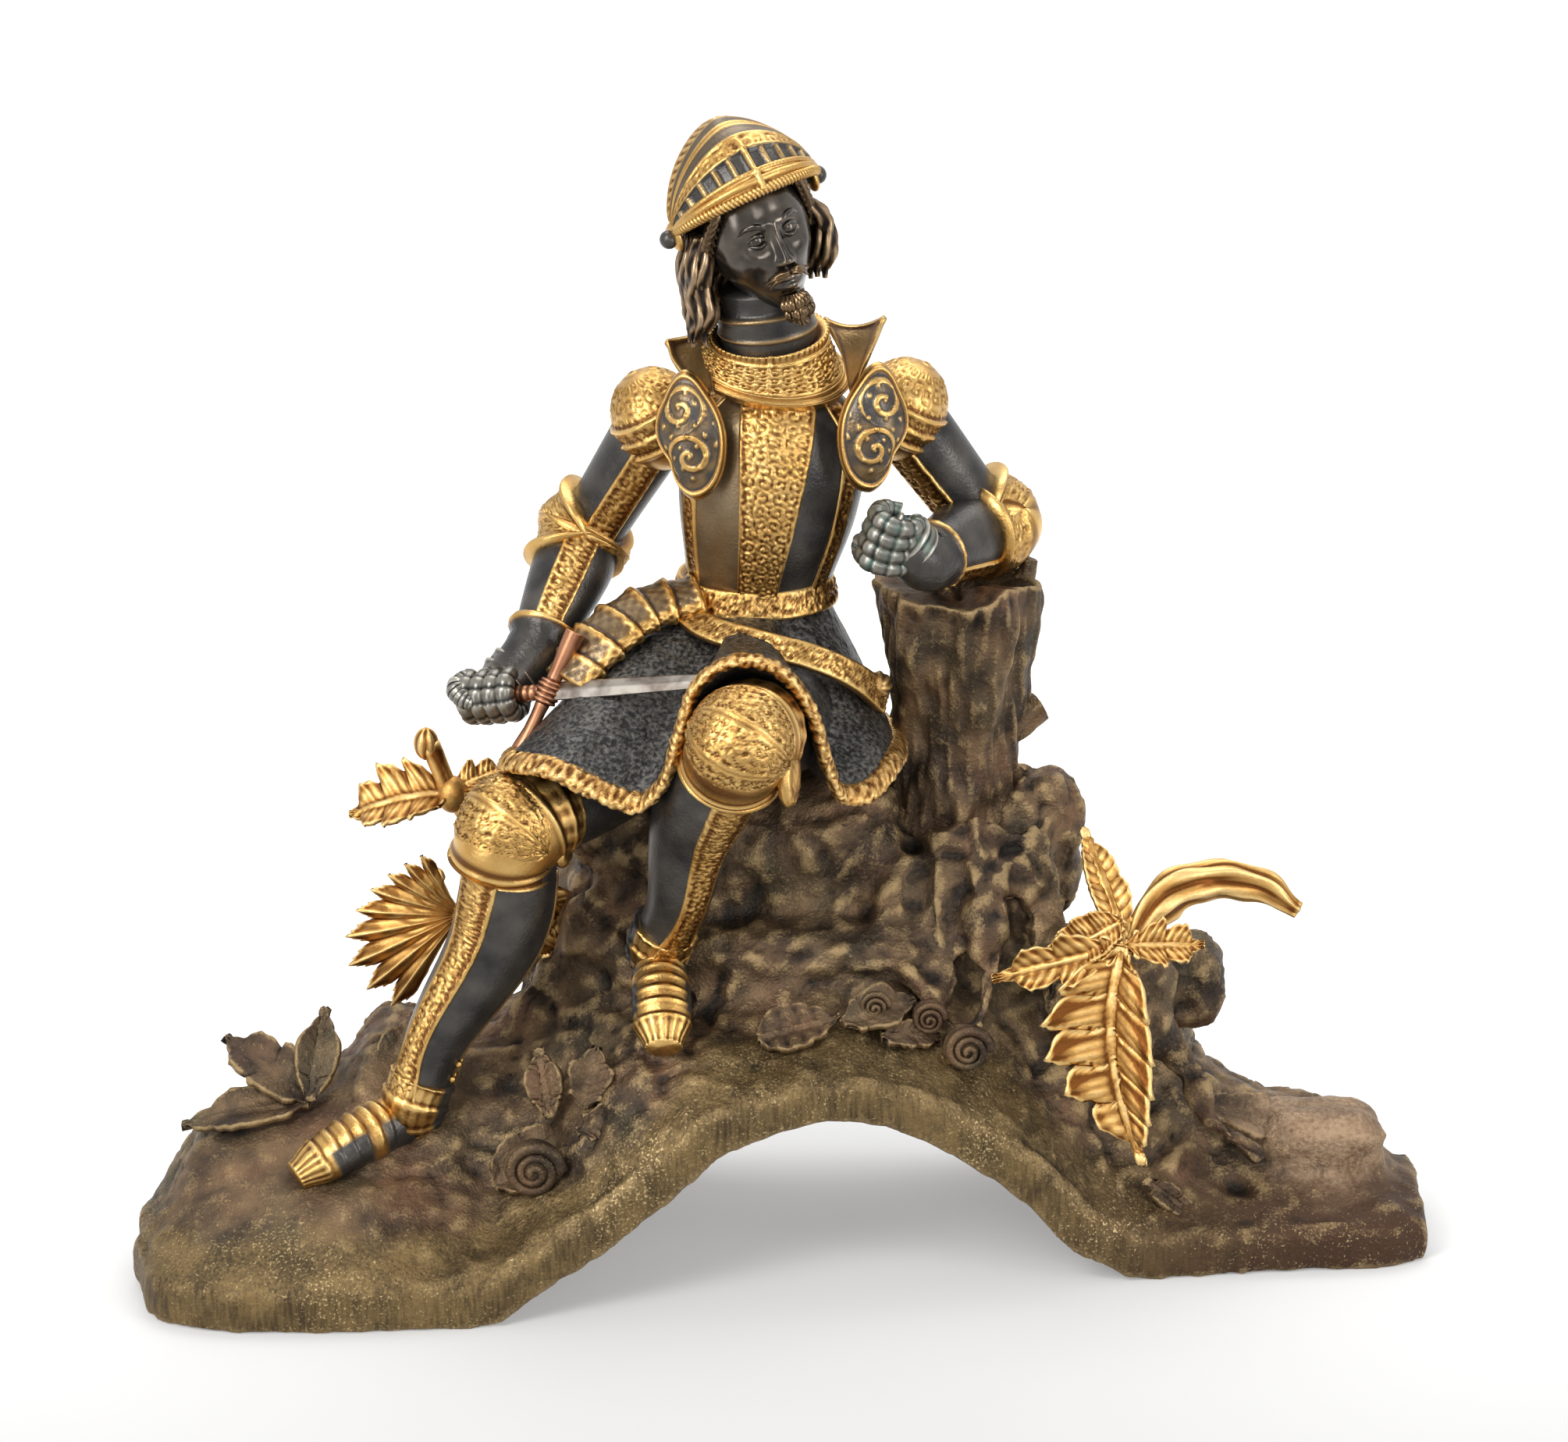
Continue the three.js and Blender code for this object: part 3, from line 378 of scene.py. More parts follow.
def earth_bronze():
    """Brown rock, olive and chiselled where gold is 1 along the rims, paler at the right end of the base."""
    finish = Finish("earth_bronze")
    high = finish.worn("high")
    rim = finish.worn("gold")
    east = finish.node("ShaderNodeSeparateXYZ", {}, {"Vector": finish.place()})
    broad = finish.cloud(34)
    patches = finish.cloud(13, detail=6)
    grain = finish.cloud(1.6, detail=6)
    glints = finish.cloud(0.8, detail=3)
    upright = finish.node("ShaderNodeMapping", {}, {"Vector": finish.place(), "Scale": (1, 1, 0.14)})
    chisel = finish.node("ShaderNodeTexNoise", {}, {"Vector": upright, "Scale": 900, "Detail": 4})
    brown = finish.tint((0.04, 0.027, 0.018), (0.15, 0.094, 0.05), patches.between(0.36, 0.64))
    greenish = finish.tint(brown, (0.085, 0.075, 0.042), (broad + grain * 0.3).between(0.66, 0.84) * 0.5)
    reddish = finish.tint(greenish, (0.17, 0.08, 0.045), (1 - broad + grain * 0.2).between(0.64, 0.84) * 0.6)
    olive = finish.tint((0.055, 0.036, 0.016), (0.17, 0.113, 0.046), (chisel + patches).between(0.75, 1.2))
    olive = finish.tint(olive, (0.055, 0.028, 0.015), (east * 9 + patches * 0.8 - 1.1).between(0, 0.7))
    ground = finish.tint(reddish, olive, (rim + grain * 0.8 - 0.4).between(0.15, 0.75))
    wear_and_sheen = high + glints * 0.5 + grain * 0.3
    colour = finish.tint(ground, (0.37, 0.26, 0.125), wear_and_sheen.between(0.95, 1.3) * 0.65)
    pale_end = (0.17, 0.005, 0.038)
    ends = {0: finish.place(), 1: pale_end}
    far = finish.node("ShaderNodeVectorMath", {"operation": "DISTANCE"}, ends, output="Value")
    stone = finish.tint((0.17, 0.105, 0.06), (0.36, 0.25, 0.16), (grain + patches).between(0.8, 1.2))
    colour = finish.tint(colour, stone, (patches * 0.6 - far * 45 + 1.5).between(0.3, 1.1) * 0.8)
    sparkle = (glints + broad * 0.4).between(0.82, 0.96) * (rim * 0.8 + 0.2)
    colour = finish.tint(colour, (0.56, 0.43, 0.22), sparkle * 0.8)
    deep = finish.tint((0.01, 0.009, 0.008), colour, (high + grain * 0.3).between(0.1, 0.5))
    rough = 0.48 - sparkle * 0.16 + grain * 0.14
    return finish.skin(deep, rough, 0.75, grain * 0.8 + glints * 0.3 + chisel * rim * 0.4, 0.5)


front_line = through(
    (-base_end, -39), (-195.9, -62.4), (-182.7, -74.1), (-158.3, base_front), (-101.5, -74.9), (-48.7, -64),
    (20.3, -52.3), (81.2, -42.1), (142.1, -32.8), (190.8, -26.5), (base_end, -20.3))
back_line = through(
    (-base_end, -17.2), (-192.9, 14), (-166.5, 39), (-111.7, 62.4), (-40.6, 74.9), (20.3, base_back),
    (101.5, 71.8), (172.6, 54.6), (base_end, 32.8))
arch_shape = through(
    (0, 0), (0.09, 0.17), (0.2, 0.4), (0.3, 0.68), (0.37, 0.87), (0.53, 1), (0.65, 0.88), (0.75, 0.66),
    (0.82, 0.46), (0.885, 0.2), (0.94, 0.09), (1, 0))
ridge = through(
    (-base_end, 20), (-182.7, 43), (-162.4, 51), (-142.1, 57), (-129.9, 67), (-113.7, 68), (-89.3, 70),
    (-73.1, 77), (-56.8, 90), (-24.4, 100), (60.9, 103), (91.4, 92), (117.7, 74), (138, 47), (152.3, 39),
    (176.6, 34), (190.8, 24), (base_end, 17))


def front_edge(x):
    """Where the base ends at a length x along it, as the next three tell its back, its arch and its rim."""
    return np.maximum(base_front, front_line(x))


def back_edge(x):
    return np.minimum(base_back, back_line(x))


def underside(x):
    return arch_rise * arch_shape((x - arch_left) / (arch_right - arch_left))


def rim_top(x):
    leans = [-0.9, -0.5, 0, 0.5, 0.9]
    over = [underside(x + lean * crown_wall) + crown_wall * math.sqrt(1 - lean**2) for lean in leans]
    return np.maximum(rim_height, np.max(over, axis=0))


def ground(x, y):
    """The height of the rock before its relief, with a level place under each foot of the knight."""
    across = (y - front_edge(x)) / (back_edge(x) - front_edge(x))
    rim = rim_top(x)
    rise = np.minimum(eased(across, 0, 0.6), eased(1 - across, 0, 0.25))
    level = rim + np.maximum(ridge(x) - rim, 0) * rise
    for top, reach in ((right_sole, 27), (left_sole, 24)):
        near = np.exp(-((x - top[0]) ** 2 + (y - top[1]) ** 2) / reach**2)
        level = level + np.maximum(top[2] - level, 0) * near * eased(across, 0, 0.1)
    return level


def bridge(u, v):
    """The bridge's skin: v goes over the top from the front rim, down the back and home underneath."""
    x = -base_end + 2 * base_end * u
    y = front_edge(x) + (back_edge(x) - front_edge(x)) * np.clip((v - 0.1) / 0.4, 0, 1)
    home = np.clip((v - 0.6) / 0.4, 0, 1)
    y = np.where(v > 0.5, back_edge(x) + (front_edge(x) - back_edge(x)) * home, y)
    low = underside(x)
    front_wall = low + (rim_top(x) - low) * np.clip(v / 0.1, 0, 1)
    back_wall = ground(x, back_edge(x)) + (low - ground(x, back_edge(x))) * np.clip((v - 0.5) / 0.1, 0, 1)
    z = np.where(v < 0.1, front_wall, np.where(v < 0.5, ground(x, y), back_wall))
    return np.stack([x, y, z], axis=1)


def boulder(casting, centre, radii, seed):
    """A stone: a ball squared off a little, with uneven sides."""

    def shape(points):
        x, y, z = np.abs(points).T
        square = 0.3 * (x * y + x * z + y * z)
        rough = 0.1 * rugged(points * 10 + seed * 7, 9, seed=seed)
        return points * (0.97 + square + rough)[:, None]

    casting.ball(centre, radii, around=48, down=32, shape=shape)


bridgework = Casting()
bridgework.sheet(260, 110, bridge, caps=True)
stones = [
    ((-10, 36, 117), (55, 33, 32)), ((80, 36, 118), (15, 15, 26)), ((126, 14, 81), (14, 14, 15)),
    ((-54, 16, 92), (17, 14, 20)), ((4, 2, 92), (52, 16, 14)), ((104, 0, 82), (20, 17, 20)),
    ((-120, 26, 52), (15, 12, 16)), ((168, 7, 29), (22, 15, 13)), ((40, 60, 92), (34, 14, 34)),
    ((-60, 48, 84), (26, 20, 22)),
]
for number, (centre, radii) in enumerate(stones):
    boulder(bridgework, centre, radii, number)


def gnarled(turn, t):
    """The uneven section of roots and stems."""
    return 1 + 0.1 * np.cos(3 * turn + 5 * t) + 0.05 * np.cos(7 * turn - 9 * t)


roots = [
    ([(60, 14, 134), (63, -4, 112), (64, -18, 94), (60, -30, 80)], 10, 3.5),
    ([(38, 14, 122), (34, -2, 104), (42, -18, 92), (54, -28, 80)], 9, 3),
    ([(74, 20, 128), (80, 4, 108), (83, -8, 92), (85, -18, 76)], 10, 4),
    ([(50, 12, 132), (49, -2, 108), (51, -14, 92), (44, -24, 84)], 8, 4),
    ([(-98, 6, 58), (-84, 10, 68), (-68, 14, 82), (-48, 14, 98)], 6, 14),
    ([(-34, 2, 92), (-26, -10, 84), (-34, -20, 72), (-52, -28, 62)], 7, 3),
    ([(112, 0, 78), (126, -14, 62), (134, -20, 46), (150, -22, 34)], 7, 4),
]
for points, start, end in roots:
    bridgework.limb(Limb(points, taper(start, end), swell=gnarled), 26, 60)
hidden_lug = (66, 35, 31)
bridgework.ball(hidden_lug, (6.5, 6, 28), around=4, down=2)
mesh_grain = 1.8
rough_skin = bpy.data.meshes.new("bridgework")
bridgework.bm.to_mesh(rough_skin)
bridgework.bm.free()
mould = bpy.data.objects.new("mould", rough_skin)
bpy.context.scene.collection.objects.link(mould)
remesh = mould.modifiers.new("skin", "REMESH")
remesh.mode = "VOXEL"
remesh.voxel_size = mesh_grain * mm
seen = bpy.context.evaluated_depsgraph_get()
cast_base = bpy.data.meshes.new_from_object(mould.evaluated_get(seen))
bpy.data.objects.remove(mould)

# Its relief rises along the skin: crags and broken faces where the rock is free, and little on the chiselled
# front band, on the flat ends and where the knight sits. Hollows are sunk between the roots and stones.
flat_ends = ((-150, -40, 45, 0.85), (170, 4, 24, 0.7))
smooth_stones = (((-6, 20, 104), (42, 40, 34)), ((127, 14, 83), 17))
hollows = (
    ((133, -18, 34), 7, 9), ((143, -14, 26), 5, 6), ((98, -34, 52), 9, 6), ((-30, 4, 88), 15, 7),
    ((-20, -14, 78), 9, 5), ((-96, 2, 46), 9, 5), ((84, 4, 96), 7, 5), ((84, -28, 67), 10, 8))
points = smoothed(cast_base, mesh_points(cast_base), 2)
normals = mesh_normals(cast_base)
x, y, z = points.T
inside_front = y - front_edge(x)
worn_edge = peak(z - rim_top(x), 5) * (1 - eased(inside_front, 6, 12))
worn_edge = (worn_edge * eased(z - underside(x), 3, 7))[:, None]
points = points * (1 - worn_edge) + smoothed(cast_base, points, 18) * worn_edge
x, y, z = points.T
band = (1 - eased(inside_front, 1.5, 5)) * (1 - eased(z - rim_top(x), -1.5, 1.5))
low_side = 1 - eased(z - underside(x), 0.5, 3)
crags = rugged(points, 19, octaves=3, seed=4)
pebbles = rugged(points, 8.5, octaves=2, seed=9)
free = (1 - band) * (1 - low_side)
for middle_x, middle_y, reach, evenness in flat_ends:
    free = free * (1 - evenness * np.exp(-((x - middle_x) ** 2 + (y - middle_y) ** 2) / reach**2))
rocky = eased(z - rim_top(x), 6, 16) * (1 - np.exp(-((x - 168) ** 2 + (y - 4) ** 2) / 26**2))
smooth = sum(np.exp(-(((points - centre) / reach) ** 2).sum(axis=1)) for centre, reach in smooth_stones)
broken = 1.8 * chipped(points, 20, 3) + 0.7 * chipped(points, 9, 8)
lift = free * (1.4 * crags - 0.8 + 0.6 * pebbles + rocky * (1 - 0.75 * smooth) * broken)
lift += (0.2 + 0.3 * free) * rugged(points, 3.4, octaves=2, seed=2)
lift += band * (0.35 * rugged(points * (1, 1, 0.12), 4, octaves=2, seed=5) + 0.5 * lumps(points, 14, seed=17))
for hollow, reach, depth in hollows:
    lift = lift - depth * np.exp(-((points - hollow) ** 2).sum(axis=1) / reach**2)
points = points + normals * lift[:, None]
points[:, 2] = np.maximum(points[:, 2], 0)
cast_base.vertices.foreach_set("co", (points * mm).ravel())
above_rim = z - rim_top(x) + 6 * rugged(points, 22, octaves=2, seed=12)
gilding = (1 - eased(above_rim, 2, 18)) * (1 - eased(inside_front, 18, 42))
cast_base.attributes.new("gold", "FLOAT", "POINT").data.foreach_set("value", gilding)
earth = earth_bronze()
finished(cast_base, "rocky_bridge", earth, "rocky_base", gain=1.1)

# A broken tree stump and the plants round it, cast in one with the ground. They are cut sharper than the
# rock: bark in long ridges, pointed and toothed leaves with raised veins, and tendrils coiled like snails.
undergrowth = Casting()


def bark(turn, t):
    """The section of the trunk: broad ridges, with a finer grain that is strongest at the back."""
    ridges = 0.08 * np.cos(5 * turn + 2.5 * t) + 0.04 * np.sin(9 * turn + 9 * t)
    front = 0.35 + 0.65 * eased(np.abs(turn - math.pi), 0.2, 2.6)
    grain = 0.02 * np.sin(23 * turn + 6 * np.sin(6 * t)) + 0.01 * np.sin(41 * turn - 4 * t)
    return 1 + ridges * 0.9 + grain * (1.5 - front)


trunk = Limb(
    [(50, 36, 92), (52, 36, 130), (54, 34, 170), (54, 30, 206)],
    through((0, 31), (0.3, 23), (0.6, 20), (1, 25)), through((0, 30), (0.3, 22), (0.6, 19), (1, 23)),
    swell=bark)


def broken_trunk(u, v):
    """The skin of the trunk, and past its ragged rim the splintered hollow of its top."""
    turn = u * full_turn
    t = np.minimum(v / 0.88, 1)
    inward = np.clip((v - 0.88) / 0.12, 0, 1)
    middle = read(trunk.line, t)
    points = trunk.skin(t, turn)
    grained = 0.07 * rugged(points, 13, seed=3) + 0.05 * rugged(points * (1, 1, 0.3), 4, octaves=2, seed=14)
    points = middle + (points - middle) * ((1 + grained) * (1 - 0.9 * inward))[:, None]
    around = np.stack([np.cos(turn), np.sin(turn), 0 * turn], axis=1)
    ragged = 3.5 * rugged(around * 10, 9, octaves=3, seed=31) - 1
    hollow = 1.5 * inward**0.6 + 2.5 * lumps(points, 5, seed=8) * inward
    raised = 5.5 * eased(np.cos(turn), -0.3, 0.8) * eased(t, 0.8, 1) * (1 - 0.4 * inward)
    points[:, 2] += ragged * eased(t, 0.84, 1) * (1 - 0.5 * inward) + raised - hollow
    return points


undergrowth.sheet(200, 110, broken_trunk, caps=True)
splinters = (
    ([(66, 40, 190), (75, 42, 205), (77, 42, 212)], 8, 2.5),
    ([(69, 44, 194), (72, 46, 204), (70, 47, 211)], 5, 1.5),
    ([(62, 34, 158), (74, 36, 161), (81, 38, 165)], 8, 4.5))
for points, start, end in splinters:
    undergrowth.limb(Limb(points, taper(start, end), swell=gnarled), 26, 60)


def leaf_place(root, way, upper, length, width, teeth=3, curl=0.4, notch=0.3, veer=0, relief=0.5):
    """The sheet of a toothed leaf, with a midrib, veins out to its teeth and fine lines between them."""
    ahead = unit(way)
    up = unit(np.asarray(upper, float) - ahead * np.dot(ahead, upper))
    aside = np.cross(ahead, up)
    outline = through((0, 0.16), (0.12, 0.7), (0.4, 1), (0.75, 0.62), (1, 0.05))

    def place(u, v):
        side = 2 * u - 1
        out = np.abs(side)
        tooth = np.abs(np.cos(math.pi * v * teeth)) ** 0.7
        serrated = 0.07 * np.abs(np.sin(math.pi * v * teeth * 3)) * (width > 15)
        half = width / 2 * outline(v) * (1 - notch * (1 - tooth) - serrated)
        lean = out * half * (0.1 + 0.45 * tooth) * min(1, 6 * notch)
        turned = curl * v
        run = np.sin(turned) * length / curl + lean * np.cos(turned)
        drop = (1 - np.cos(turned)) * length / curl + lean * np.sin(turned)
        fine = np.cos(full_turn * (v * teeth * 4 - 0.8 * out))
        folds = relief * (1.7 * tooth**2 * np.minimum(2 * out, 1) + 0.22 * np.minimum(3 * out, 1) * fine)
        rib = 1.6 * relief * peak(side * half, 0.9)
        rise = 0.35 * half * out - drop + folds + rib
        sideways = side * half + veer * v * v
        return root + ahead * run[:, None] + up * rise[:, None] + aside * sideways[:, None]

    return place


def onto_ground(x, y, up):
    """A spot that lies up above the ground of the base."""
    spot = np.array([x, y, 0.0])
    spot[2] = ground(spot[:1], spot[1:2])[0] + up
    return spot


ivy = onto_ground(-148, -18, 2)
plants = (
    (ivy, (-0.8, 0.42, 0.6), (0, -0.6, 1), 37, 20, {"notch": 0.18}),
    (ivy, (0.14, 0.45, 0.9), (0, -1, 0.4), 31, 15, {"teeth": 2, "notch": 0.15}),
    (ivy, (-1, -0.05, -0.05), (0, -0.6, 1), 42, 16, {"teeth": 2, "notch": 0.2}),
    (ivy + (22, 8, 2), (0.35, 0.3, 0.8), (-0.3, -1, 0.5), 26, 13, {"teeth": 2, "notch": 0.15}),
    (onto_ground(-90, -44, 2), (0.8, 0.2, 0.6), (-0.2, -1, 0.7), 31, 20, {"notch": 0.1}),
    (onto_ground(-72, -34, 2), (-0.2, 0.2, 1), (-0.1, -1, 0.3), 22, 13, {"teeth": 2, "notch": 0.15}),
    (onto_ground(-62, -40, 2), (0.2, 0.1, 0.9), (0, -1, 0.5), 20, 14, {"teeth": 2}),
    (onto_ground(-64, -44, 2), (0.9, 0.1, 0.3), (0, -1, 0.5), 20, 12, {"teeth": 2}),
    (onto_ground(-8, -35, 3), (1, 0.1, 0.3), (0, -1, 0.9), 27, 15, {"teeth": 5, "notch": 0.0, "relief": 0.8}),
    (onto_ground(18, -30, 3), (1, 0.1, 0.45), (0, -1, 0.9), 26, 15, {"teeth": 2, "curl": 0.8}),
    (onto_ground(30, -31, 2), (1, 0.1, 0.1), (0, -1, 0.9), 22, 9, {"teeth": 3, "curl": 0.9}),
    (onto_ground(132, 2, 3), (0.9, -0.1, -0.2), (0.2, -0.6, 1), 42, 18, {}),
    (onto_ground(112, -22, 2), (0.9, -0.1, -0.6), (0.2, -0.8, 0.6), 24, 9, {"notch": 0.1}),
)
for root, way, upper, length, width, shape in plants:
    undergrowth.sheet(20, 44, leaf_place(root, way, upper, length, width, **shape), wall=2)


def coil(centre, size, turns=2.6):
    """A tendril rolled up like a snail."""
    steps = np.linspace(0, 1, 40)
    reach = size * (1 - 0.93 * steps)
    angle = steps * turns * full_turn
    centre = np.asarray(centre)
    return centre + np.stack([np.cos(angle) * reach, -3 * steps, np.sin(angle) * reach], axis=1)


for centre, size in (((-77, -50, 46), 8.5), ((57, -30, 79), 7), ((45, -26, 88), 5), ((28, -27, 92), 4.5)):
    place = onto_ground(centre[0], centre[1], 4)
    place[2] = (place[2] + centre[2]) / 2
    undergrowth.limb(Limb(coil(place, size), taper(size * 0.24, size * 0.13)), 12, 110)
    undergrowth.ball(place + (0, 3, 0), (size * 1.1, size * 0.6, size * 1.1))
finished(undergrowth, "stump_and_undergrowth", earth, "rocky_base", reach=6, gain=1.0)

# Both legs are one casting with the figure: dark plates over thigh and calf, a gilt knee cop with lames,
# chased rows and a side wing, a chased gilt band down each shin, and jointed shoes with gilt toes.
hips, waist = (-9, 36, 170), (-9, 36, 200)
right_hip, left_hip = np.array([-26, 32, 166.0]), np.array([4, 32, 166.0])
right_knee, left_knee = np.array([-83, -22, 144.5]), np.array([-13, -48, 181.0])
right_ankle, left_ankle = np.array([-115, -26, 56.0]), np.array([-39, -10, 102.0])
right_toe, left_toe = np.array([-151, -43, 38.0]), np.array([-37, -42, 80.0])


def armour_bronze():
    finish = Finish("armour_bronze")
    high = finish.worn("high")
    gold = finish.worn("gold")
    cloud = finish.cloud(11)
    fine = finish.cloud(0.9)
    dark = finish.tint((0.026, 0.025, 0.025), (0.085, 0.077, 0.068), cloud.between(0.3, 0.7))
    worn_dark = finish.tint(dark, (0.16, 0.1, 0.04), (high * 0.8 + fine * 0.4).between(0.86, 1.05) * 0.6)
    low_gilt = finish.tint((0.15, 0.065, 0.02), (0.5, 0.29, 0.09), high.between(0.22, 0.5))
    warm = finish.tint((0.56, 0.325, 0.095), (0.72, 0.49, 0.19), cloud.between(0.35, 0.65))
    gilt = finish.tint(low_gilt, warm, (high * 0.9 + fine * 0.25).between(0.5, 0.75))
    colour = finish.tint(worn_dark, gilt, gold)
    rough = 0.25 + fine * 0.13 + cloud * 0.08 + gold * 0.04 - high * 0.06
    return finish.skin(colour, rough, gold * 0.35 + 0.65, fine + cloud * 0.6, 0.14)


def scrolls(along, across, length, width):
    """Leafy scrolls, about -1 to 1 high, one in each cell of a length and a width, turned to and fro."""
    row, cell = np.floor(across / width), np.floor(along / length)
    x = along / length - cell - 0.5
    y = (across / width - row - 0.5) * (1 - 2 * ((cell + row) % 2))
    reach = np.hypot(x, y)
    angle = np.arctan2(y, x)
    spiral = np.cos(angle + full_turn * reach / 0.4) + 0.45 * np.cos(5 * angle - 12 * reach)
    inside = eased(0.6 - reach, 0, 0.14)
    leaves = 0.7 * np.cos(9 * x) * np.cos(9 * y)
    return np.clip(spiral * inside + leaves * (1 - inside), -0.8, 1)


def scrollwork(along, across, half):
    """Height in millimetres of a chased band: rows of small scrolls between double edge lines."""
    edge_width, row_width, scroll_length = 1.2, 3.8, 3.9
    inner = half - edge_width
    width = 2 * inner / np.maximum(1, np.round(2 * inner / row_width))
    field = eased(inner + 0.3 - np.abs(across), 0, 0.5)
    lines = sum(peak(np.abs(across) - half + place, 0.3) for place in (0.45, 1.3))
    punched = 0.28 * lumps(np.stack([along, across, 0 * along], axis=1), 0.8, seed=6)
    return field * (0.3 * scrolls(along, across + inner, scroll_length, width) + punched) + 0.42 * lines


def band(casting, limb, turn, half, span, lift=0.55, columns=24, rows=80, gold=1.0, chase=scrollwork):
    """A chased strip along a limb's skin, at a turn round it. Its underside is sunk in the skin below it."""
    run = np.linalg.norm(np.diff(limb.line, axis=0), axis=1).sum()
    width = sized(half)
    sunk = 1.2

    def place(u, v):
        t = span[0] + (span[1] - span[0]) * v
        top = u < 0.8
        side = np.where(top, u / 0.4 - 1, 1 - (u - 0.8) / 0.1)
        across = side * width(t)
        relief = chase(t * run, across, width(t))
        edge = eased(1 - np.abs(side), 0, 0.08)
        rise = np.where(top, -0.6 + (lift + 0.6) * edge + relief * edge, -sunk)
        ends = eased(np.minimum(v, 1 - v), 0, 0.02)
        radius = 0.5 * (limb.width(t) + limb.depth(t))
        return limb.skin(t, turn + across / radius, (rise + sunk) * ends - sunk)

    casting.sheet(columns, rows, place, gold, caps=True)


def lames(edges, lip, soft=0.02):
    """Height of overlapping plates along t: each starts at an edge, a lip above the end of the one before."""
    edges = np.array([0, *edges, 1.0])

    def height(t):
        i = np.clip(np.searchsorted(edges, t, side="right") - 1, 0, len(edges) - 2)
        part = (t - edges[i]) / (edges[i + 1] - edges[i])
        start = t - edges[i]
        return lip * (1 - part) * eased(start, 0, soft) + 0.35 * peak(start - soft * 1.6, soft)

    return height


def chased_skin(limb, height, gold):
    """A limb's skin with a height in millimetres and gilding that are functions of turn and t."""

    def place(u, v):
        turn = (u - 0.5) * full_turn
        return limb.skin(v, turn, height(turn, v)), gold(turn, v)

    return place


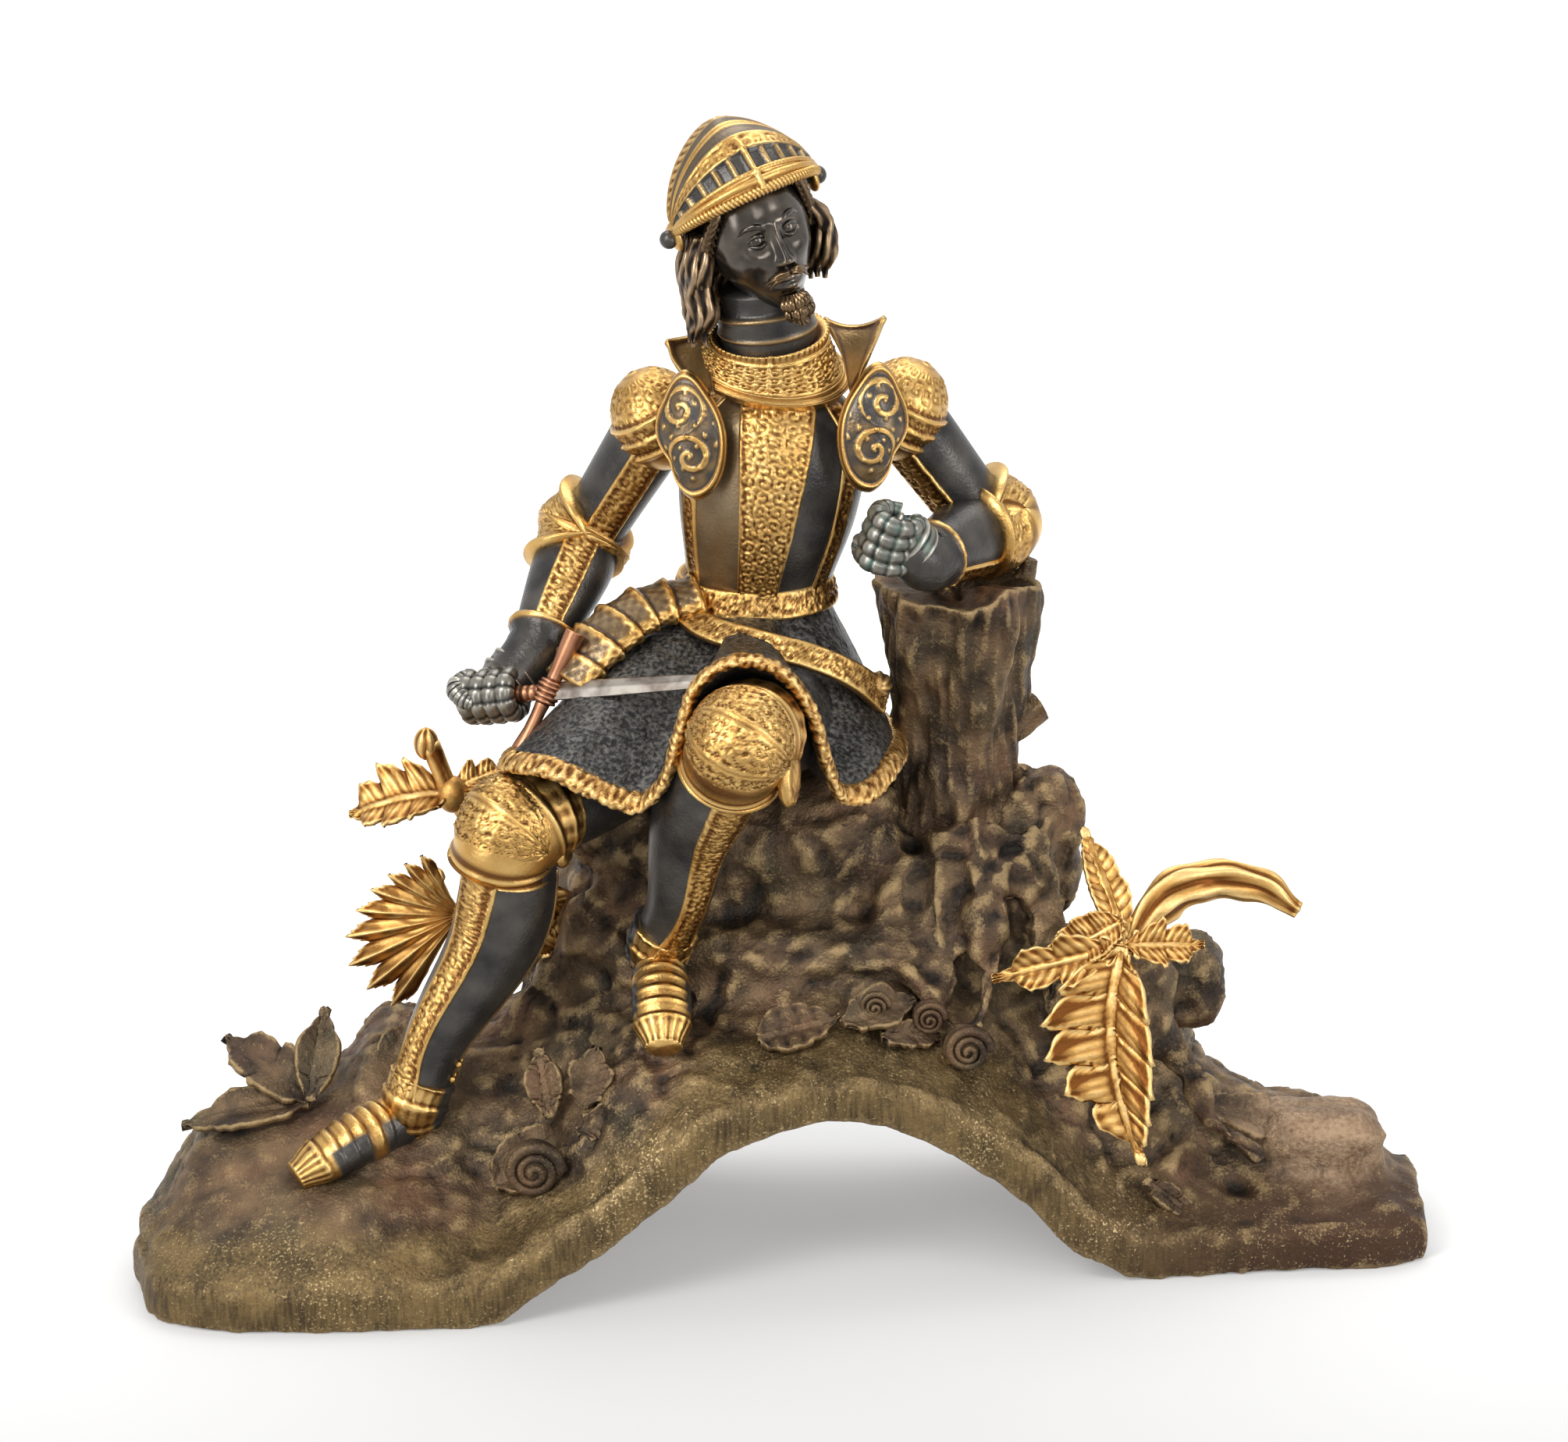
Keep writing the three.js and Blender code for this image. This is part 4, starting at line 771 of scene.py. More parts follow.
def leg(casting, hip, knee, ankle, toe, calf, wing, front, cop_front):
    """A leg from its joints. calf moves the swell of the calf, wing leads from the knee to its side wing, and
    front and cop_front are the ways that the greave and the knee cop face."""
    thigh = Limb([hip, knee + (knee - hip) * 0.02], through((0, 18), (0.6, 17), (1, 14)), front=front)
    casting.limb(thigh, 48, 40)
    down = lambda part: knee + (ankle - knee) * part

    def keeled(turn, t):
        return 1 + 0.08 * np.maximum(0, np.cos(turn)) ** 6 + 0.05 * np.sin(3 * t) * np.cos(2 * turn)

    greave = Limb(
        [knee, down(0.38) + calf, down(0.75), ankle],
        through((0, 14), (0.3, 15), (0.6, 12), (0.85, 9), (1, 9)), front=front, swell=keeled)
    casting.limb(greave, 72, 90)
    shin = through((0, 8.2), (0.25, 6.6), (0.6, 4.6), (0.82, 4.2), (0.94, 6), (1, 7.5))
    band(casting, greave, 0.0, shin, (0.1, 0.985), rows=170)
    seam = lambda along, across, half: 0.3 + 0 * along
    band(casting, greave, 2.25, 0.5, (0.12, 0.97), lift=0.25, columns=8, rows=60, gold=0.5, chase=seam)
    for share, turn in itertools.product((0.82, 0.88), (1.95, 2.45)):
        buckle = greave.skin(np.array([share]), np.array([turn]), 0.5)[0]
        casting.ball(buckle, (1.3, 1.3, 1.3), around=12, down=8, gold=1.0)

    shin_way = unit(knee - ankle)
    thigh_way = unit(hip - knee)
    bend = unit(np.asarray(cop_front, float))
    cop_line = [
        knee + thigh_way * 21 + bend * 0.5, knee + thigh_way * 9 + bend * 2, knee - shin_way * 4 + bend * 2.2,
        knee - shin_way * 12.5 + bend * 0.6]
    cop = Limb(
        cop_line, through((0, 13.5), (0.3, 15.6), (0.55, 15.6), (0.8, 15.4), (0.93, 14.8), (1, 15.4)),
        through((0, 14), (0.3, 16.6), (0.55, 16.6), (0.8, 16.2), (0.93, 15.2), (1, 15.6)), front=bend)
    plates = lames((0.14, 0.28, 0.44, 0.86), 1.0)
    outmost, down_shin = unit(shin_way - thigh_way), -unit(shin_way + thigh_way)

    def knee_plate(points):
        """The round plate in front of the knee, with two wide chased rows and a narrow one below them."""
        round_knee = np.arctan2(points[:, 1], points[:, 0]) * 18
        sidelong = np.arcsin(np.clip(points[:, 2], -1, 1)) * 17
        rows = ((-8.2, 8), (8.4, 8), (21, 4.4))
        chase = sum(scrollwork(sidelong, round_knee - place, half) for place, half in rows)
        shown = eased(21.5 - np.abs(round_knee - 4), 0, 0.7)
        return points * (0.9 + 0.1 * shown + 1.2 * chase / 17)[:, None]

    knee_axes = (outmost, down_shin, np.cross(outmost, down_shin))
    casting.ball(knee + bend * 1.8, (17.6, 17.6, 16.4), knee_axes, 180, 80, knee_plate, gold=1.0)

    def cop_height(turn, t):
        small = 0.2 * np.cos(16 * turn) * (1 - eased(t, 0.42, 0.46))
        return plates(t) + small + 1.1 * peak(t - 0.985, 0.015)

    casting.sheet(80, 60, chased_skin(cop, cop_height, lambda turn, t: 1.0 + 0 * t), caps=True)
    wing_out, wing_up = unit((1, -0.35, 0.1)), np.array([0.15, 0.3, 1])
    wing_up = unit(wing_up - wing_out * np.dot(wing_up, wing_out))
    wing_axes = np.array([wing_out, np.cross(wing_up, wing_out), wing_up])

    def shell(points):
        """The side wing: a small shell with ridges out to a raised rim."""
        x, y, z = points.T
        far = np.hypot(y, z)
        rise = 1 + 0.12 * np.cos(13 * np.arctan2(y, z)) * far + 0.25 * peak(far - 0.86, 0.07)
        return np.stack([x * rise, y, z], axis=1)

    casting.ball(knee + wing, (3, 6, 9.5), wing_axes, around=40, down=20, shape=shell, gold=1.0)

    heel = ankle + (0, 5, -6)
    mid = ankle + (toe - ankle) * 0.45 - (0, 0, 1)
    shoe = Limb(
        [heel, mid, toe], through((0, 8), (0.45, 9), (0.8, 9), (1, 6)),
        through((0, 9), (0.5, 8), (0.85, 6), (1, 4)), front=(0, 0, 1),
        swell=lambda turn, t: 1 + 0.06 * np.cos(2 * turn) * t)
    plates_over_foot = lames((0.3, 0.38, 0.47, 0.56, 0.66, 0.78), 0.8, 0.015)

    def shoe_height(turn, t):
        toe_ridges = 0.25 * np.cos(turn * 16) * eased(t, 0.78, 0.82)
        return plates_over_foot(t) * np.maximum(0, np.cos(turn * 0.7)) + toe_ridges

    def shoe_gold(turn, t):
        centre = eased(0.95 - np.abs(turn), 0, 0.12)
        strap = np.exp(-(((t - 0.42) / 0.05) ** 4))
        cap = eased(t, 0.72, 0.75)
        return np.clip(centre + strap + cap, 0, 1)

    casting.sheet(64, 90, chased_skin(shoe, shoe_height, shoe_gold), caps=True)
    ankle_line = [ankle + shin_way * 9, ankle, heel + (0, 0, -1)]
    collar = Limb(ankle_line, through((0, 9.6), (0.5, 9.8), (1, 8.5)), front=front)
    collar_lames = lames((0.35, 0.6, 0.8), 0.7, 0.03)
    collar_height = lambda turn, t: collar_lames(t) + 0.2 * np.cos(18 * turn)
    collar_gold = lambda turn, t: eased(1.5 - np.abs(turn), 0, 0.1)
    casting.sheet(60, 40, chased_skin(collar, collar_height, collar_gold), caps=True)


armour = armour_bronze()
legs = Casting()
leg(
    legs, right_hip, right_knee, right_ankle, right_toe, calf=(7, 4, 0), wing=(15, 0, -3),
    front=(-0.62, -0.78, 0), cop_front=(-0.35, -0.9, 0.2))
leg(
    legs, left_hip, left_knee, left_ankle, left_toe, calf=(-4, 5, 0), wing=(14.5, 0, -11),
    front=(0.42, -0.9, 0), cop_front=(0.05, -0.9, 0.4))
finished(legs, "leg_armour", armour, "knight")

# The skirt of the tunic under the armour is dark bronze with a fine grain, one sheet that runs over both
# thighs and falls to the rock, edged by a gilt granulated border. It is cast with the legs.
hem = [
    (-85, -24, 165), (-72, -37, 167), (-58, -42, 162), (-45, -44, 158), (-37, -46, 166), (-32, -47, 182),
    (-27, -45, 197), (-16, -42, 204), (-2, -40, 201), (8, -38, 188), (13, -35, 170), (18, -31, 157),
    (27, -26, 156), (34, -14, 160), (37, 4, 160), (36, 26, 157), (30, 50, 154), (10, 66, 152),
    (-20, 68, 151), (-48, 58, 149), (-68, 36, 150), (-79, 10, 156), (-86, -10, 162)]
hem_line = line_through(hem, closed=True)


def draped(points, start, end, radius):
    """Cloth over a limb: points inside its round skin are pushed out to it."""
    run = end - start
    share = np.clip(((points - start) @ run) / (run @ run), 0, 1)
    nearest = start + share[:, None] * run
    away = points - nearest
    reach = np.linalg.norm(away, axis=1, keepdims=True)
    return nearest + away / np.maximum(reach, 0.1) * np.maximum(reach, radius)


def cloth(share, s):
    """A point of the skirt: share goes round the hem, s from the waist down to it."""
    low = hem_line(share)
    away = low - waist
    way = np.arctan2(away[:, 1], away[:, 0])
    high = np.stack([np.cos(way) * 22.5, np.sin(way) * 18.5, 1.5 + 0 * way], axis=1) + waist
    lift = 4 * (1 + np.sin(way)) + 8 * np.maximum(0, -np.cos(way)) - 3
    points = high + (low - high) * s[:, None]
    points[:, 2] += lift * np.sin(math.pi * s)
    for hip, knee in ((right_hip, right_knee), (left_hip, left_knee)):
        points = draped(points, hip, knee + (hip - knee) * 0.15, 18.3)
    folds = 0.8 * np.sin(way * 9 + 2 * s) * eased(s, 0.1, 0.6) + 0.5 * np.sin(way * 17 - 3 * s) * s
    out = np.stack([np.cos(way) * 0.5, np.sin(way) * 0.5, 0.8 + 0 * way], axis=1)
    return points + out * (folds * np.clip((way > 0) + 0.35, 0, 1))[:, None]


def skirt_sheet(u, v):
    """The outside of the skirt from the waist to the hem, and from there its inside up to the hips."""
    s = np.clip(v / 0.8, 0, 1)
    under = np.clip((v - 0.8) / 0.2, 0, 1)[:, None]
    points = cloth(u, s)
    grain = 0.5 * rugged(points, 2.3, octaves=1, seed=6) + 0.2 * rugged(points, 6, octaves=1, seed=8)
    points[:, 2] += grain * 0.8
    points[:, 1] -= grain * 0.5
    inner = np.asarray(hips) - (0, 0, 6)
    return np.where(under > 0, points + (inner - points) * np.minimum(under * 1.02, 1) - (0, 0, 1.5), points)


skirt = Casting()
skirt.sheet(230, 90, skirt_sheet)
shares = np.linspace(0, 1, 400)
edge_points = cloth(shares, np.ones(400))
inwards = unit(cloth(shares, np.full(400, 0.9)) - edge_points)
border_line = edge_points + inwards * 2.6
border = Limb(border_line[:-1:6], 2.1, 3.9, closed=True)
border.line = border_line
border.along = unit(np.gradient(border_line, axis=0))
border.forward = inwards
border.aside = np.cross(border.forward, border.along)


def granules(turn, t):
    """The border's grains and the slack rope they lie on, for a hem 640 mm long."""
    run = t * 640
    rope = 0.08 * np.cos(run * 1.9 + 2.2 * np.sin(turn))
    spots = np.stack([run, 3.4 * np.cos(turn), 3.4 * np.sin(turn)], axis=1)
    return rope + 0.55 * rugged(spots, 1.6, octaves=2, seed=21)


border_skin = lambda u, v: border.skin(v, u * full_turn, granules(u * full_turn, v))
skirt.sheet(22, 860, border_skin, gold=1.0)


def cloth_bronze():
    finish = Finish("cloth_bronze")
    high = finish.worn("high")
    gold = finish.worn("gold")
    grain = finish.cloud(1.3, detail=3)
    cloud = finish.cloud(11)
    dark = finish.tint((0.016, 0.016, 0.016), (0.13, 0.122, 0.11), (grain + cloud * 0.3).between(0.55, 0.85))
    low_gilt = finish.tint((0.14, 0.06, 0.018), (0.5, 0.28, 0.09), high.between(0.2, 0.5))
    gilt = finish.tint(low_gilt, (0.72, 0.49, 0.2), (high * 0.9 + grain * 0.3).between(0.55, 0.85))
    return finish.skin(finish.tint(dark, gilt, gold), 0.33 + cloud * 0.16, gold * 0.35 + 0.65, grain, 0.5)


finished(skirt, "skirt", cloth_bronze(), "knight")

# The cuirass has a wide chased gilt band down its breast, two narrow ones down each side, and dark panels
# between. A gilt flange runs round its waist.
chest = Casting()
breast_line = [(-9, 36, 170), (-9, 36, 200), (-4, 33, 242), (-1, 34, 274)]
breast = Limb(
    breast_line, through((0, 24), (0.28, 21.5), (0.62, 28), (0.85, 28), (1, 17)),
    through((0, 22), (0.28, 17), (0.6, 23), (0.85, 21), (1, 13)),
    swell=lambda turn, t: 1 + 0.07 * np.maximum(0, np.cos(turn)) ** 8)


def hammered(u, v):
    """The plate itself, with a painted sheen of the key light: a little warmer and lighter on its right
    breast.
    """
    turn = (u - 0.5) * full_turn
    # Painted sheen: the right breast is tinted about a quarter of the way towards gilt, standing in for the
    # key light's reflection.
    wear_and_sheen = 0.23 * eased(turn, 0.1, 0.4) * (1 - eased(turn, 1.2, 1.8))
    return breast.skin(0.2 + 0.8 * v, turn, 0.15 * np.sin(9 * v) * np.sin(14 * u)), wear_and_sheen


chest.sheet(90, 60, hammered, caps=True)
front_width = through((0, 4.8), (0.3, 5), (0.8, 10), (1, 11))
band(chest, breast, 0.0, front_width, (0.3, 0.97), columns=60, rows=150, lift=0.6)
side_width = through((0, 2.8), (0.4, 3), (1, 3.8))
for turn in (-0.93, 1.05, -2.1, 2.2):
    band(chest, breast, turn, side_width, (0.3, 0.95), columns=16, rows=120, lift=0.5)
flange = Limb(breast_line, 22.2, 18)
flange_rise = lambda v: 1.2 * np.sin(math.pi * v) + 0.9 * peak(v - 0.2, 0.14)
flange_skin = lambda u, v: flange.skin(0.262 + 0.05 * v, u * full_turn, flange_rise(v))
chest.sheet(120, 24, flange_skin, gold=1.0, caps=True)
finished(chest, "cuirass", armour, "knight")

# Below the cuirass are the gilt belt, the sword belt slung over the lap with its fluted knob, and the lames
# over the right hip.
girdle = Casting()
turns = np.linspace(0, full_turn, 25)[:-1]
belt_points = [
    (waist[0] + math.cos(turn) * 23.6, waist[1] + math.sin(turn) * 19.6, waist[2] + 5 + math.sin(turn))
    for turn in turns]
belt = Limb(belt_points, 4.6, 1.7, closed=True)
outwards = unit(belt.line - waist)
belt.forward = unit(outwards - belt.along * (belt.along * outwards).sum(axis=1, keepdims=True))
belt.aside = np.cross(belt.forward, belt.along)


def strap(casting, limb, run, rows, half):
    """A strap of flat section and of a length in millimetres, with raised edges and chasing on its face."""

    def place(u, v):
        turn = (u - 0.5) * full_turn
        flat = 1 / np.maximum(np.abs(np.cos(turn)), np.abs(np.sin(turn))) ** 0.8
        points = limb.skin(v, turn, 0.0)
        middle = read(limb.line, v)
        across = np.sin(turn) * flat * half
        rise = np.where(np.cos(turn) > 0.25, scrollwork(v * run, across, half), 0)
        return middle + (points - middle) * flat[:, None] + read(limb.forward, v) * rise[:, None]

    casting.sheet(36, rows, place, gold=1.0, caps=True)


strap(girdle, belt, 135, rows=300, half=4.6)
slung = Limb(
    [(-34, 24, 203), (-25, 9, 200), (-10, -1, 198), (9, -5, 194), (22, 1, 186), (31, 12, 175)],
    through((0, 4.2), (0.7, 4.2), (0.8, 4.4), (1, 4.8)), 1.5, front=(0.1, -0.8, 0.6))
strap(girdle, slung, 90, rows=190, half=4.2)
melon = lambda points: points * (1 + 0.06 * np.cos(9 * np.arctan2(points[:, 2], points[:, 0])))[:, None]
girdle.ball((29, 11, 180), (4.5, 4.5, 4.5), around=36, down=24, shape=melon, gold=0.6)
girdle.ball((-9, 15.5, 202), (2.2, 1.4, 3.6), around=20, down=12, gold=1.0)

tassets = Limb(
    [(-26, 22, 206), (-43, 17, 203), (-56, 8, 196), (-67, -1, 185)],
    through((0, 7.5), (0.6, 10), (1, 8.5)), 4, front=(-0.3, -0.5, 0.85))
tasset_lames = lames((0.16, 0.32, 0.49, 0.66, 0.83), 1.3, 0.02)


def tasset_height(turn, t):
    scallop = 0.5 * np.cos(6 * full_turn * t) * peak(turn + 1.4, 0.6)
    return tasset_lames(t) + scallop + 0.18 * np.cos(14 * turn) * np.cos(70 * t)


def tasset_gold(turn, t):
    part = (t * 6) % 1
    rib = peak(part - 0.12, 0.16)
    sides = eased(np.abs(np.sin(turn)), 0.7, 0.85)
    return np.clip(rib + sides + 0.25, 0, 1)


girdle.sheet(70, 100, chased_skin(tassets, tasset_height, tasset_gold), caps=True)
finished(girdle, "belts_and_tassets", armour, "knight")

# Both arms are plated: dark tubes with a chased gilt band, and winged gilt cops at the elbows. The right one
# reaches down to the sword, and the left one is bent over the stump.
right_shoulder, left_shoulder = np.array([-38, 36, 260.0]), np.array([35, 36, 263.0])
right_elbow, left_elbow = np.array([-62, 48, 218.0]), np.array([64, 44, 222.0])
right_wrist, left_wrist = np.array([-77, 18, 190.0]), np.array([43, 7, 222.0])
pommel = np.array([-100, 11, 176.0])
blade_way = unit((76, -36, 17))
sword_length = 88
right_fist, left_fist = pommel + blade_way * sword_length * 0.13, np.array([32, -1, 231.0])
arms = Casting()


def arm(casting, joint, elbow, wrist, hand, cop_front, upper_turn, fore_turn):
    """An arm from its joints, with a cop that faces one way and chased bands at a turn round each half."""
    upper = Limb([joint, (joint + elbow) / 2, elbow], taper(12, 10.5))
    casting.limb(upper, 40, 30)
    band(casting, upper, upper_turn, 5.6, (0.1, 0.95))
    fore = Limb([elbow, (elbow + wrist) / 2, wrist], through((0, 12), (0.3, 12.6), (0.7, 10.4), (1, 8.3)))
    casting.limb(fore, 40, 30)
    band(casting, fore, fore_turn, through((0, 5.8), (0.5, 5.6), (1, 4.6)), (0.12, 0.96))
    cop = Limb(
        [joint + (elbow - joint) * 0.74, elbow, elbow + (wrist - elbow) * 0.32],
        through((0, 12.8), (0.2, 12.4), (0.5, 15), (0.8, 13.4), (1, 13.6)), front=cop_front)

    def winged(u, v):
        """The elbow cop: rimmed, with a rib round its middle, and wider where its wing covers the bend."""
        turn = (u - 0.5) * full_turn
        wing = eased(np.cos(turn), -0.4, 1)
        low = 0.3 - 0.3 * wing
        t = low + (0.72 + 0.28 * wing - low) * v
        bulge = 2.6 * np.maximum(0, np.cos(turn)) ** 3 * np.sin(math.pi * np.minimum(1, 1.6 * t))
        rim = 0.8 * peak(v - 0.035, 0.03) + 0.8 * peak(v - 0.965, 0.03)
        flare = 2.4 * wing * np.abs(2 * v - 1) ** 4
        middle = 0.6 * peak(v - 0.5, 0.025)
        leafy = scrollwork(turn * 13, (np.abs(v - 0.5) - 0.25) * 30, 6.5) * 0.8
        buried = -3.5 * (1 - eased(np.minimum(v, 1 - v), 0, 0.012))
        return cop.skin(t, turn, bulge + rim + flare + middle + leafy + buried)

    casting.sheet(110, 80, winged, gold=1.0, caps=True)
    cuff_line = [elbow + (wrist - elbow) * 0.84, wrist, wrist + (hand - wrist) * 0.7]
    cuff = Limb(cuff_line, through((0, 10.6), (0.4, 9.4), (1, 8)))
    rolled = lambda turn, t: 1.1 * peak(t - 0.05, 0.05) + 0.15 * np.cos(20 * turn) * (t < 0.5)
    rolled_gold = lambda turn, t: np.exp(-(((t - 0.05) / 0.05) ** 4))
    casting.sheet(50, 30, chased_skin(cuff, rolled, rolled_gold), caps=True)


arm(arms, right_shoulder, right_elbow, right_wrist, right_fist, (-0.8, -0.2, 0.3), 0.2, -0.15)
arm(arms, left_shoulder, left_elbow, left_wrist, left_fist, (0.9, 0.1, 0.3), -0.7, 0.9)
finished(arms, "arm_armour", armour, "knight")


# The gauntlets are dark, with ridged fingers: one is round the grip of the sword, the other closed to a fist
# over the stump. Where hands have touched the left one its patina has gone green.
def glove_bronze():
    finish = Finish("glove_bronze")
    high = finish.worn("high")
    green = finish.worn("gold")
    cloud = finish.cloud(4)
    dark = finish.tint((0.02, 0.02, 0.019), (0.46, 0.43, 0.37), high.between(0.35, 0.85))
    share = (green * 1.5 + cloud - high * 0.4).between(0.55, 1.15) * 0.75
    colour = finish.tint(dark, (0.07, 0.17, 0.14), share)
    return finish.skin(colour, 0.3 + share * 0.4, 0.75, cloud, 0.12)


def glove(casting, wrist, centre, axis, green=0.0):
    """A closed gauntlet: four fingers of lames side by side along an axis, a thumb and the hand's plate."""
    out = centre - wrist
    out = unit(out - axis * np.dot(axis, out))
    side = np.cross(axis, out)
    ridged = lambda turn, t: 1 + 0.14 * (1 - (t * 9 % 1)) + 0.1 * peak((t * 3 % 1) - 0.5, 0.12)
    finger_gap, knuckle_reach = 4.7, 6.0
    angles = np.radians(np.linspace(-125, 175, 30))
    closed = knuckle_reach * (np.cos(angles)[:, None] * out * 1.05 + np.sin(angles)[:, None] * side)
    for number in range(4):
        points = centre + axis * (number - 1.5) * finger_gap - out * 0.4 * abs(number - 1.4) + closed
        finger = Limb(points, through((0, 2.3), (0.3, 2.9), (1, 2.3)), front=axis, swell=ridged)
        casting.limb(finger, 18, 84, gold=green)
    thumb_line = [
        centre - out * 4 - axis * 7.5 - side * 4, centre + out * 1 - axis * 10 - side * 6,
        centre + out * 5 - axis * 7 - side * 5, centre + out * 7 - axis * 3 - side * 4]
    thumb = Limb(thumb_line, through((0, 3.2), (0.6, 3), (1, 2.2)), front=out, swell=ridged)
    casting.limb(thumb, 20, 70, gold=green)
    plate = Limb(
        [wrist + (centre - wrist) * 0.2, centre - out * 5, centre - side * 2.5 - out * 0.5],
        through((0, 8), (0.5, 8.8), (1, 6)), through((0, 7.6), (0.5, 7), (1, 5)), front=side)
    plates = lames((0.25, 0.5, 0.75), 0.8, 0.03)
    casting.sheet(44, 44, lambda u, v: plate.skin(v, u * full_turn, plates(v)), green, caps=True)


gloves = Casting()
glove(gloves, right_wrist, right_fist, blade_way)
glove(gloves, left_wrist, left_fist, unit((0.3, -0.2, 1)), green=0.22)
finished(gloves, "gauntlets", glove_bronze(), "knight")


# The sword lies through the right fist: a straight steel blade with a ridge down its middle, and a cross
# guard with swollen ends and a ball for a pommel, both of copper-coloured bronze. It is made by itself.
def sword_metal():
    finish = Finish("sword_metal")
    high = finish.worn("high")
    copper = finish.worn("gold")
    cloud = finish.cloud(6)
    steel = finish.tint((0.16, 0.13, 0.11), (0.34, 0.31, 0.27), cloud.between(0.35, 0.6))
    hilt = finish.tint((0.12, 0.045, 0.025), (0.5, 0.24, 0.13), (high + cloud * 0.4).between(0.45, 0.85))
    return finish.skin(finish.tint(steel, hilt, copper), 0.3 + cloud * 0.15, 0.95, cloud, 0.05)


sword = Casting()
on_sword = lambda share: pommel + blade_way * sword_length * share
guard_centre = on_sword(0.35)
facing = (0.3, -0.75, 0.6)
blade = Limb(
    [guard_centre, on_sword(0.7), on_sword(1)], through((0, 3.2), (0.75, 2.7), (0.93, 2.1), (1, 0.4)),
    through((0, 1.1), (0.9, 0.8), (1, 0.3)), front=facing)


def ground_blade(u, v):
    """A blade of lozenge section: sharp at its edges, with a low ridge down its middle."""
    turn = u * full_turn
    lozenge = 1 / (np.abs(np.sin(turn)) + np.abs(np.cos(turn)))
    middle = read(blade.line, v)
    return middle + (blade.skin(v, turn) - middle) * lozenge[:, None]


sword.sheet(32, 90, ground_blade, caps=True)
wired = lambda turn, t: 1 + 0.05 * np.cos(70 * t)
sword.limb(Limb([on_sword(0.04), on_sword(0.2), guard_centre], 2.5, swell=wired), 20, 60, gold=1.0)
sword.ball(on_sword(0.03), (4.1, 4.1, 4.1), around=32, down=20, gold=1.0)
guard_way = unit((0.42, 0.25, 0.87)) * 20.2
guard_width = through(
    (0, 3.2), (0.12, 2.6), (0.2, 2.2), (0.4, 2.4), (0.42, 3.6), (0.5, 3.8), (0.58, 3.6), (0.6, 2.4), (1, 3.2))
cross_guard = Limb(
    [guard_centre - guard_way, guard_centre, guard_centre + guard_way], guard_width, front=facing,
    swell=lambda turn, t: 1 + 0.07 * np.cos(150 * t) * (np.abs(t - 0.5) < 0.1))
sword.limb(cross_guard, 24, 160, gold=1.0)
finished(sword, "blade_and_hilt", sword_metal(), "sword")

# Each shoulder has a dome of gilt lames, a rounded guard in front of the armpit, dark with gilt scrolls and
# studs in a gilt rim, and a flange that stands up beside the neck. The gorget round the neck is chased all
# over, with a beaded ring at the top and three borders below, and dark lames rise from it to the chin.
shoulders = Casting()


def turned_axes(x, y, z):
    """The axes of a piece turned by degrees about z, then y, then x."""
    return np.array(Euler(np.radians((x, y, z)), "ZYX").to_matrix()).T


